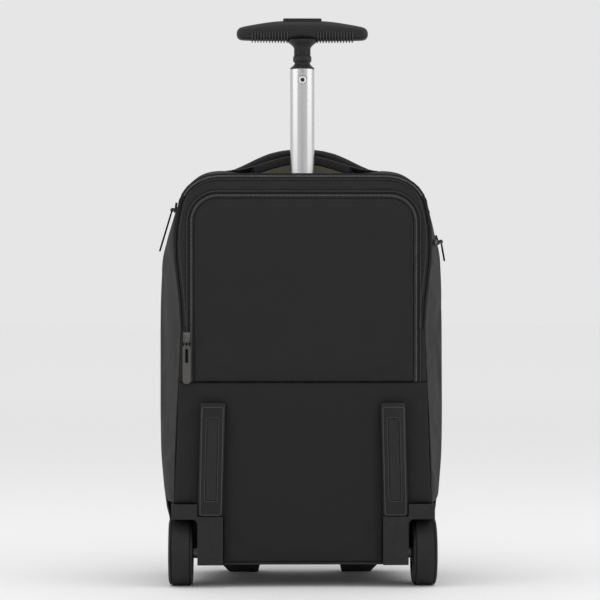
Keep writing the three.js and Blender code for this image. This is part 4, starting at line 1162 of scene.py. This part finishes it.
def wheel_pieces(side):
    """A tyre, a hub and an axle end for one side, 1 for the right and -1 for the left."""
    label = "right" if side > 0 else "left"
    low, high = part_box(f"tyre_{label}")
    centre = ((low + high) / 2) / MM
    half = (high.x - low.x) / 2 / MM
    radius = (high.z - low.z) / 2 / MM
    rim = radius - 9.7
    body = f"wheel_{label}"
    tread = [
        (-half, rim), (-half, radius - 5), (-half + 0.7, radius - 2.2), (-half + 2.6, radius - 0.5),
        (-11.7, radius - 0.1), (-11.4, radius - 1.6), (-10.5, radius - 1.6), (-10.2, radius),
        (-5, radius + 0.15), (5, radius + 0.15), (10.2, radius), (10.5, radius - 1.6),
        (11.4, radius - 1.6), (11.7, radius - 0.1), (half - 2.6, radius - 0.5),
        (half - 0.7, radius - 2.2), (half, radius - 5), (half, rim), (half - 1.2, rim - 0.2),
        (-half + 1.2, rim - 0.2),
    ]
    tyre = turned(f"tyre_{label}_rubber", tread, centre, (side, 0, 0), 112)
    painted(tyre, "wheel_rubber", body, 30, f"tyre_{label}")

    start, end = (face - abs(centre.x) for face in faces_of(f"hub_{label}"))
    dish = [
        (start, 12), (start, 8.6), (start + 2, 4.6), (end - 4, 4.6), (end - 2.6, 7.6),
        (end - 1.2, 8.4), (end - 1.0, 12.2), (end - 3.4, 14.5), (end - 5.5, 17.5), (end - 5.8, 21),
        (end - 4.2, 24.2), (end - 1, 25.6), (end, 26.4), (end, rim - 1.2), (end - 0.9, rim - 0.35),
        (start + 0.9, rim - 0.35), (start, rim - 1.2), (start, 25.6), (start + 5, 24.6),
        (start + 7, 21), (start + 7, 14),
    ]
    hub = turned(f"hub_{label}_disc", dish, centre, (side, 0, 0), 96)
    spokes = []
    count = sizes().spokes
    for k in range(count):
        deselect()
        bpy.ops.mesh.primitive_cube_add(size=1, location=(0, 0, 0), scale=(0.006, 0.0042, 0.0135))
        rib = added("rib")
        rounded(rib, 1.1, 3)
        turn = Matrix.Rotation(k * 2 * math.pi / count, 4, "X")
        reach = Matrix.Translation(mm(centre.x + side * (end - 6.4), 0, 0))
        out = Matrix.Translation(mm(0, 0, 19.4))
        rib.data.transform(Matrix.Translation(mm(0, centre.y, centre.z)) @ reach @ turn @ out)
        spokes.append(rib)
    hub = merged(hub.name, [hub] + spokes)
    painted(hub, "hub_plastic", body, 30, f"hub_{label}")

    root, tip = faces_of(f"axle_{label}")
    pin = [
        (root, 0.01), (root, 8), (130 - 0.4, 8), (130 - 0.3, 4), (tip - 2.1, 4), (tip - 2, 6.2),
        (tip - 1.6, 7), (tip - 0.5, 7), (tip, 6.3), (tip, 3.2), (tip - 1, 3), (tip - 1.2, 0.01),
    ]
    pin = [(along - abs(centre.x), r) for along, r in pin]
    axle = turned(f"axle_{label}_bolt", pin, centre, (side, 0, 0), 48)
    painted(axle, "bolt_steel", "bag", 30, f"axle_{label}")


class BACKPACK_OT_wheels(Operator):
    """Turn both tyres and hubs, with the ends of their axles"""

    bl_idname = "backpack.wheels"
    bl_label = "Wheels"

    def execute(self, context):
        for side in (-1, 1):
            wheel_pieces(side)
        return {"FINISHED"}


def housing_pieces(label, side):
    """The moulded block over one wheel, with its arm, vent groove and seam step."""
    node = f"housing_{label}"
    recast(
        f"{node}_shell", node, "housing_plastic",
        clean=2.0, bevel=(1.1, 3, 35), crease=32,
    )
    x, front = side * 109.2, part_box(node)[0].y / MM
    groove = block(f"{node}_groove", (x - 1, front - 0.25, 45), (x + 1, front + 1.5, 74))
    rounded(groove, 0.35, 2)
    painted(groove, "button_plastic", crease=35)


def top_front(edge, low, high):
    """True for the edge across a guard's top at its front face."""
    ends = [v.co for v in edge.verts]
    wide = abs(ends[0].x - ends[1].x) > 0.02
    return wide and all(p.y < low[1] + 0.0008 and p.z > high[2] - 0.0028 for p in ends)


def raised_rim(node, front, radius, out, bevel):
    """A fine rim round a node's face: how far outside its corners, under a bevelled top edge."""
    points = [v.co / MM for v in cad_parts[node].data.vertices]
    low, high = min(p.z for p in points), max(p.z for p in points)
    corners = []
    for level, order in ((low, (min, max)), (high, (max, min))):
        row = [p.x for p in points if abs(p.z - level) < 2.5]
        z = level - out if level == low else level + out - bevel
        corners += [mm(way(row) + (out if way is max else -out), front + 0.1, z) for way in order]
    path = []
    for start, end in zip(corners, corners[1:] + corners[:1]):
        trim = 1.6 * MM / (end - start).length
        path += [start.lerp(end, share) for share in np.linspace(trim, 1 - trim, 8)]
    return strip("rim", path, radius, closed=True)


def guard_pieces(label):
    """One skid guard with a bevelled frame and a textured insert."""
    guard = copied(f"guard_{label}_rail", f"guard_{label}", 0.6)
    low, high = corners_of(guard)
    with editing(guard, "EDGE", "DESELECT"):
        pick(guard, lambda edge: top_front(edge, low, high), "edges")
        bpy.ops.mesh.bevel(offset=3.4 * MM, segments=1, affect="EDGES")
    rounded(guard, 1.2, 3, 20)
    outer = raised_rim(f"guard_{label}", low[1] / MM, 0.6, -1.6, 3.6)
    inner = raised_rim(f"guard_inset_{label}", low[1] / MM, 0.4, 1.0, 0.0)
    edge = merged(f"guard_{label}_rim", [outer, inner])
    # The rim strips are painted paler than the guard: a painted highlight of edges catching the
    # light.
    painted(edge, "edge_plastic", crease=50)
    painted(guard, "guard_plastic", "bag", 30, f"guard_{label}")
    recast(
        f"guard_{label}_insert", f"guard_inset_{label}", "inset_plastic",
        clean=0.6, bevel=(0.6, 2, 30), crease=30,
    )


class BACKPACK_OT_base(Operator):
    """Mould the wheel housings, the skid guards, the feet and the base tray"""

    bl_idname = "backpack.base"
    bl_label = "Base"

    def execute(self, context):
        for label, side in (("left", -1), ("right", 1)):
            housing_pieces(label, side)
            guard_pieces(label)
            recast(
                f"foot_{label}_block", f"foot_{label}", "foot_plastic",
                bevel=(1.4, 3, 25), crease=30,
            )
        recast(
            "base_tray_sheet", "base_tray", "housing_plastic", bevel=(0.5, 2, 40),
        )
        return {"FINISHED"}


BAR = (
    (0.0, 673.2, 648.6, 14.0), (12.0, 673.2, 648.6, 14.0), (23.0, 673.0, 648.7, 14.0),
    (36.7, 672.0, 648.9, 13.6), (53.0, 669.4, 649.1, 13.0), (64.0, 667.4, 649.3, 12.2),
    (70.5, 666.1, 649.5, 11.6), (74.4, 665.0, 650.0, 10.6), (77.0, 662.9, 651.6, 8.6),
    (78.4, 660.0, 654.2, 5.0), (78.5, 657.6, 656.6, 1.6),
)
POLE_Y = -61.0
TUBE_WALL = 1.5
FLUTES = 14


def bar_section(x, proud=0.0):
    """Top, bottom and half depth of the T-handle's bar at a distance from its middle, in mm."""
    table = np.array(BAR)
    top, bottom, half = (np.interp(abs(x), table[:, 0], table[:, k]) for k in (1, 2, 3))
    return x, top + proud, bottom - proud, half + proud


BAR_SIDES = 36
BAR_SQUARENESS = 2.5


def lofted_bar(name, sections):
    """A closed bar along X through rounded sections of (x, top, bottom, half depth)."""
    rings = []
    for x, top, bottom, half in sections:
        deselect()
        bpy.ops.mesh.primitive_circle_add(vertices=BAR_SIDES, fill_type="NOTHING")
        ring = bpy.context.object
        for k, vertex in enumerate(ring.data.vertices):
            turn = 2 * math.pi * k / BAR_SIDES
            across, up = math.cos(turn), math.sin(turn)
            across = math.copysign(abs(across) ** (2 / BAR_SQUARENESS), across)
            up = math.copysign(abs(up) ** (2 / BAR_SQUARENESS), up)
            vertex.co = mm(x, POLE_Y + half * across, (top + bottom) / 2 + (top - bottom) / 2 * up)
        rings.append(ring)
    bar = merged(name, rings)
    with editing(bar, "EDGE"):
        bpy.ops.mesh.bridge_edge_loops(type="SINGLE")
        bpy.ops.mesh.select_all(action="DESELECT")
        bpy.ops.mesh.select_mode(type="EDGE")
        pick(bar, lambda edge: edge.is_boundary, "edges")
        bpy.ops.mesh.edge_face_add()
    return finish_mesh(bar, 1e-6)


RIB_TOP = 659.0
RIB_START = 18.2
RIB_PITCH = 3.47


def finger_rib(x):
    """One rib round the underside of the bar."""
    proud = sizes().rib_proud / MM
    rib = lofted_bar("rib", [bar_section(x - 0.7, proud), bar_section(x + 0.7, proud)])
    with editing(rib):
        bpy.ops.mesh.bisect(
            plane_co=mm(0, 0, RIB_TOP), plane_no=(0, 0, 1), clear_outer=True, use_fill=True,
        )
    return rounded(rib, 0.45, 2, 50)


NECK = (
    (615.2, 13.0), (615.2, 14.4), (616.4, 14.5), (618.0, 12.6), (620.4, 10.0), (622.4, 9.2),
    (623.2, 9.3), (623.8, 10.4), (625.2, 11.0), (629.6, 11.0), (631.0, 10.4), (631.8, 9.5),
    (638.6, 9.5), (641.6, 10.6), (644.4, 13.2), (647.0, 16.6), (650.0, 18.5), (652.0, 0.01),
    (640.0, 0.01), (618.0, 0.01),
)


class BACKPACK_OT_trolley(Operator):
    """Draw the pole and mould the T-handle with its finger ribs, screw and button"""

    bl_idname = "backpack.trolley"
    bl_label = "Telescopic handle"

    def execute(self, context):
        low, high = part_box("pole")
        centre = Vector(((low.x + high.x) / 2, (low.y + high.y) / 2, 0)) / MM
        radius = (high.x - low.x) / 2 / MM
        bottom, top = low.z / MM, high.z / MM
        ring = [
            (bottom, radius - TUBE_WALL), (bottom, radius - 0.4), (bottom + 0.4, radius),
            (top - 0.4, radius), (top, radius - 0.4), (top, radius - TUBE_WALL),
        ]
        tube = turned("pole_tube", ring, centre, (0, 0, 1), 96)
        low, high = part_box("screw")
        mid = (low + high) / 2 / MM
        r = (high.x - low.x) / 2 / MM
        ends = (mid.x, centre.y - 20, mid.z), (mid.x, centre.y, mid.z)
        drill = drum("drill", r + 0.35, *ends, 48)
        modify(tube, "BOOLEAN", object=drill, operation="DIFFERENCE", solver="EXACT")
        bpy.data.objects.remove(drill)
        rounded(tube, 0.35, 3, 50)
        painted(tube, "pole_aluminium", "handle", 30, "pole")

        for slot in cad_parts["guide_tube"].material_slots:
            slot.material = finish_of("housing_plastic")

        half = (high.y - low.y) / 2 / MM
        head = [
            (-half, 0.01), (-half, r), (half - 0.9, r), (half - 0.3, r - 0.35), (half, r - 1.1),
            (half, 2.7), (half - 0.25, 2.45), (half - 1.3, 2.4), (half - 1.3, 0.01),
        ]
        screw = turned("pole_screw", head, mid, (0, -1, 0), 40)
        painted(screw, "screw_steel", "handle", 30, "screw")
        ends = [(mid.x, mid.y + half - depth, mid.z) for depth in (1.2, 0.4)]
        # A dark hex plug sits in the head's recess as painted shade for the depth of the socket.
        socket = drum("screw_socket", 2.35, *ends, 6)
        socket.data.transform(Matrix.Translation(mm(0, -2 * half + 1.6, 0)))
        rounded(socket, 0.15, 1)
        painted(socket, "button_plastic", "handle", 35)

        places = [-row[0] for row in reversed(BAR)] + [row[0] for row in BAR[1:]]
        bar = lofted_bar("grip_bar", [bar_section(x) for x in places])
        smooth(bar)
        places = [RIB_START + RIB_PITCH * k for k in range(sizes().ribs)]
        ribs = [finger_rib(side * x) for side in (-1, 1) for x in places]
        neck = turned("neck", NECK, (centre.x, centre.y, 0), (0, 0, 1), 64)
        flute = block("flute", (-3.6, -0.75, -0.6), (3.6, 0.75, 0.7))
        rounded(flute, 0.5, 2)
        spots = []
        for k in range(FLUTES):
            turn = 2 * math.pi * (k + 0.5) / FLUTES
            out = Vector((math.cos(turn), math.sin(turn), 0))
            spots.append(place(mm(centre.x, centre.y, 635.4) + out * 9.3 * MM, (0, 0, 1), out))
        flutes = repeated("flutes", flute, spots)
        ribs = merged("grip_ribs", ribs)
        # The finger ribs are painted paler than the bar as a painted highlight on their ridges.
        painted(ribs, "rib_plastic", "handle", 40)
        grip = merged("grip_bar", [bar, neck, flutes])
        painted(grip, "grip_plastic", "handle", 40, "grip")
        recast(
            "release_button_cap", "release_button", "button_plastic", "button",
            bevel=(0.9, 3, 40), crease=40,
        )
        return {"FINISHED"}


class BACKPACK_OT_stage(Operator):
    """Lay the pale floor and place the soft lights and the camera"""

    bl_idname = "backpack.stage"
    bl_label = "Stage"

    def execute(self, context):
        light = context.scene.backpack_light
        deselect()
        bpy.ops.mesh.primitive_grid_add(x_subdivisions=24, y_subdivisions=24, size=60)
        floor = added("floor")
        floor.data.materials.append(pale_floor())
        deselect()
        bpy.ops.mesh.primitive_plane_add(
            size=1, location=(0, -4.2, 0.9), rotation=(math.pi / 2, 0, 0), scale=(5.4, 2.4, 1),
        )
        flag = added("black_flag")
        flag.data.materials.append(black_flag())
        flag.visible_camera = False
        sky = bpy.data.worlds.new("studio")
        sky.use_nodes = True
        sky.node_tree.nodes["Background"].inputs["Color"].default_value = (1, 1, 1, 1)
        sky.node_tree.nodes["Background"].inputs["Strength"].default_value = light.air
        context.scene.world = sky
        for name, where, power, width, height in (
            ("left_panel", (-1.9, -0.6, 1.25), light.side, 2.2, 1.3),
            ("right_panel", (1.9, -0.6, 1.25), light.side, 2.2, 1.3),
            ("top_panel_light", (0, -0.5, 2.4), light.top, 1.6, 1.0),
        ):
            deselect()
            bpy.ops.object.light_add(type="AREA", location=where)
            lamp = context.object
            lamp.name = lamp.data.name = name
            lamp.data.shape = "RECTANGLE"
            lamp.data.size, lamp.data.size_y = width, height
            lamp.data.energy = power
            aim = Vector((0, 0, 0.35)) - Vector(where)
            lamp.rotation_euler = aim.to_track_quat("-Z", "Y").to_euler()
        deselect()
        at = (light.camera_side, -0.1 - light.distance, light.camera_height)
        bpy.ops.object.camera_add(location=at, rotation=(math.pi / 2, 0, -light.camera_turn))
        camera = context.object
        camera.data.lens = light.lens
        camera.data.clip_start, camera.data.clip_end = 0.05, 200
        context.scene.camera = camera
        context.scene.view_settings.view_transform = "Standard"
        return {"FINISHED"}


class BACKPACK_PT_panel(Panel):
    """Lists the sizes, the colours and the steps that make the backpack"""

    bl_label = "Wheeled backpack"
    bl_idname = "BACKPACK_PT_panel"
    bl_space_type = "VIEW_3D"
    bl_region_type = "UI"
    bl_category = "Backpack"

    def draw(self, context):
        for title, group in (
            ("Colours", context.scene.backpack_colours),
            ("Sizes", context.scene.backpack_sizes),
            ("Light and camera", context.scene.backpack_light),
        ):
            box = self.layout.box()
            box.label(text=title)
            for name in group.bl_rna.properties.keys():
                if name not in ("rna_type", "name"):
                    box.prop(group, name)
        box = self.layout.box()
        box.label(text="Make")
        for step in STEPS:
            box.operator(f"backpack.{step}")


STEPS = ("loop", "front", "rear_face", "zips", "top", "pulls", "trolley", "wheels", "base", "stage")
CLASSES = (
    BackpackColours,
    BackpackSizes,
    BackpackLight,
    BACKPACK_OT_loop,
    BACKPACK_OT_front,
    BACKPACK_OT_rear_face,
    BACKPACK_OT_zips,
    BACKPACK_OT_top,
    BACKPACK_OT_pulls,
    BACKPACK_OT_trolley,
    BACKPACK_OT_wheels,
    BACKPACK_OT_base,
    BACKPACK_OT_stage,
    BACKPACK_PT_panel,
)


GROUPS = {
    "backpack_colours": BackpackColours,
    "backpack_sizes": BackpackSizes,
    "backpack_light": BackpackLight,
}


def register():
    for cls in CLASSES:
        bpy.utils.register_class(cls)
    for name, group in GROUPS.items():
        setattr(bpy.types.Scene, name, PointerProperty(type=group))


def unregister():
    for name in GROUPS:
        delattr(bpy.types.Scene, name)
    for cls in reversed(CLASSES):
        bpy.utils.unregister_class(cls)


def main():
    """Build every piece in order."""
    register()
    for step in STEPS:
        getattr(bpy.ops.backpack, step)()


if __name__ == "__main__":
    main()
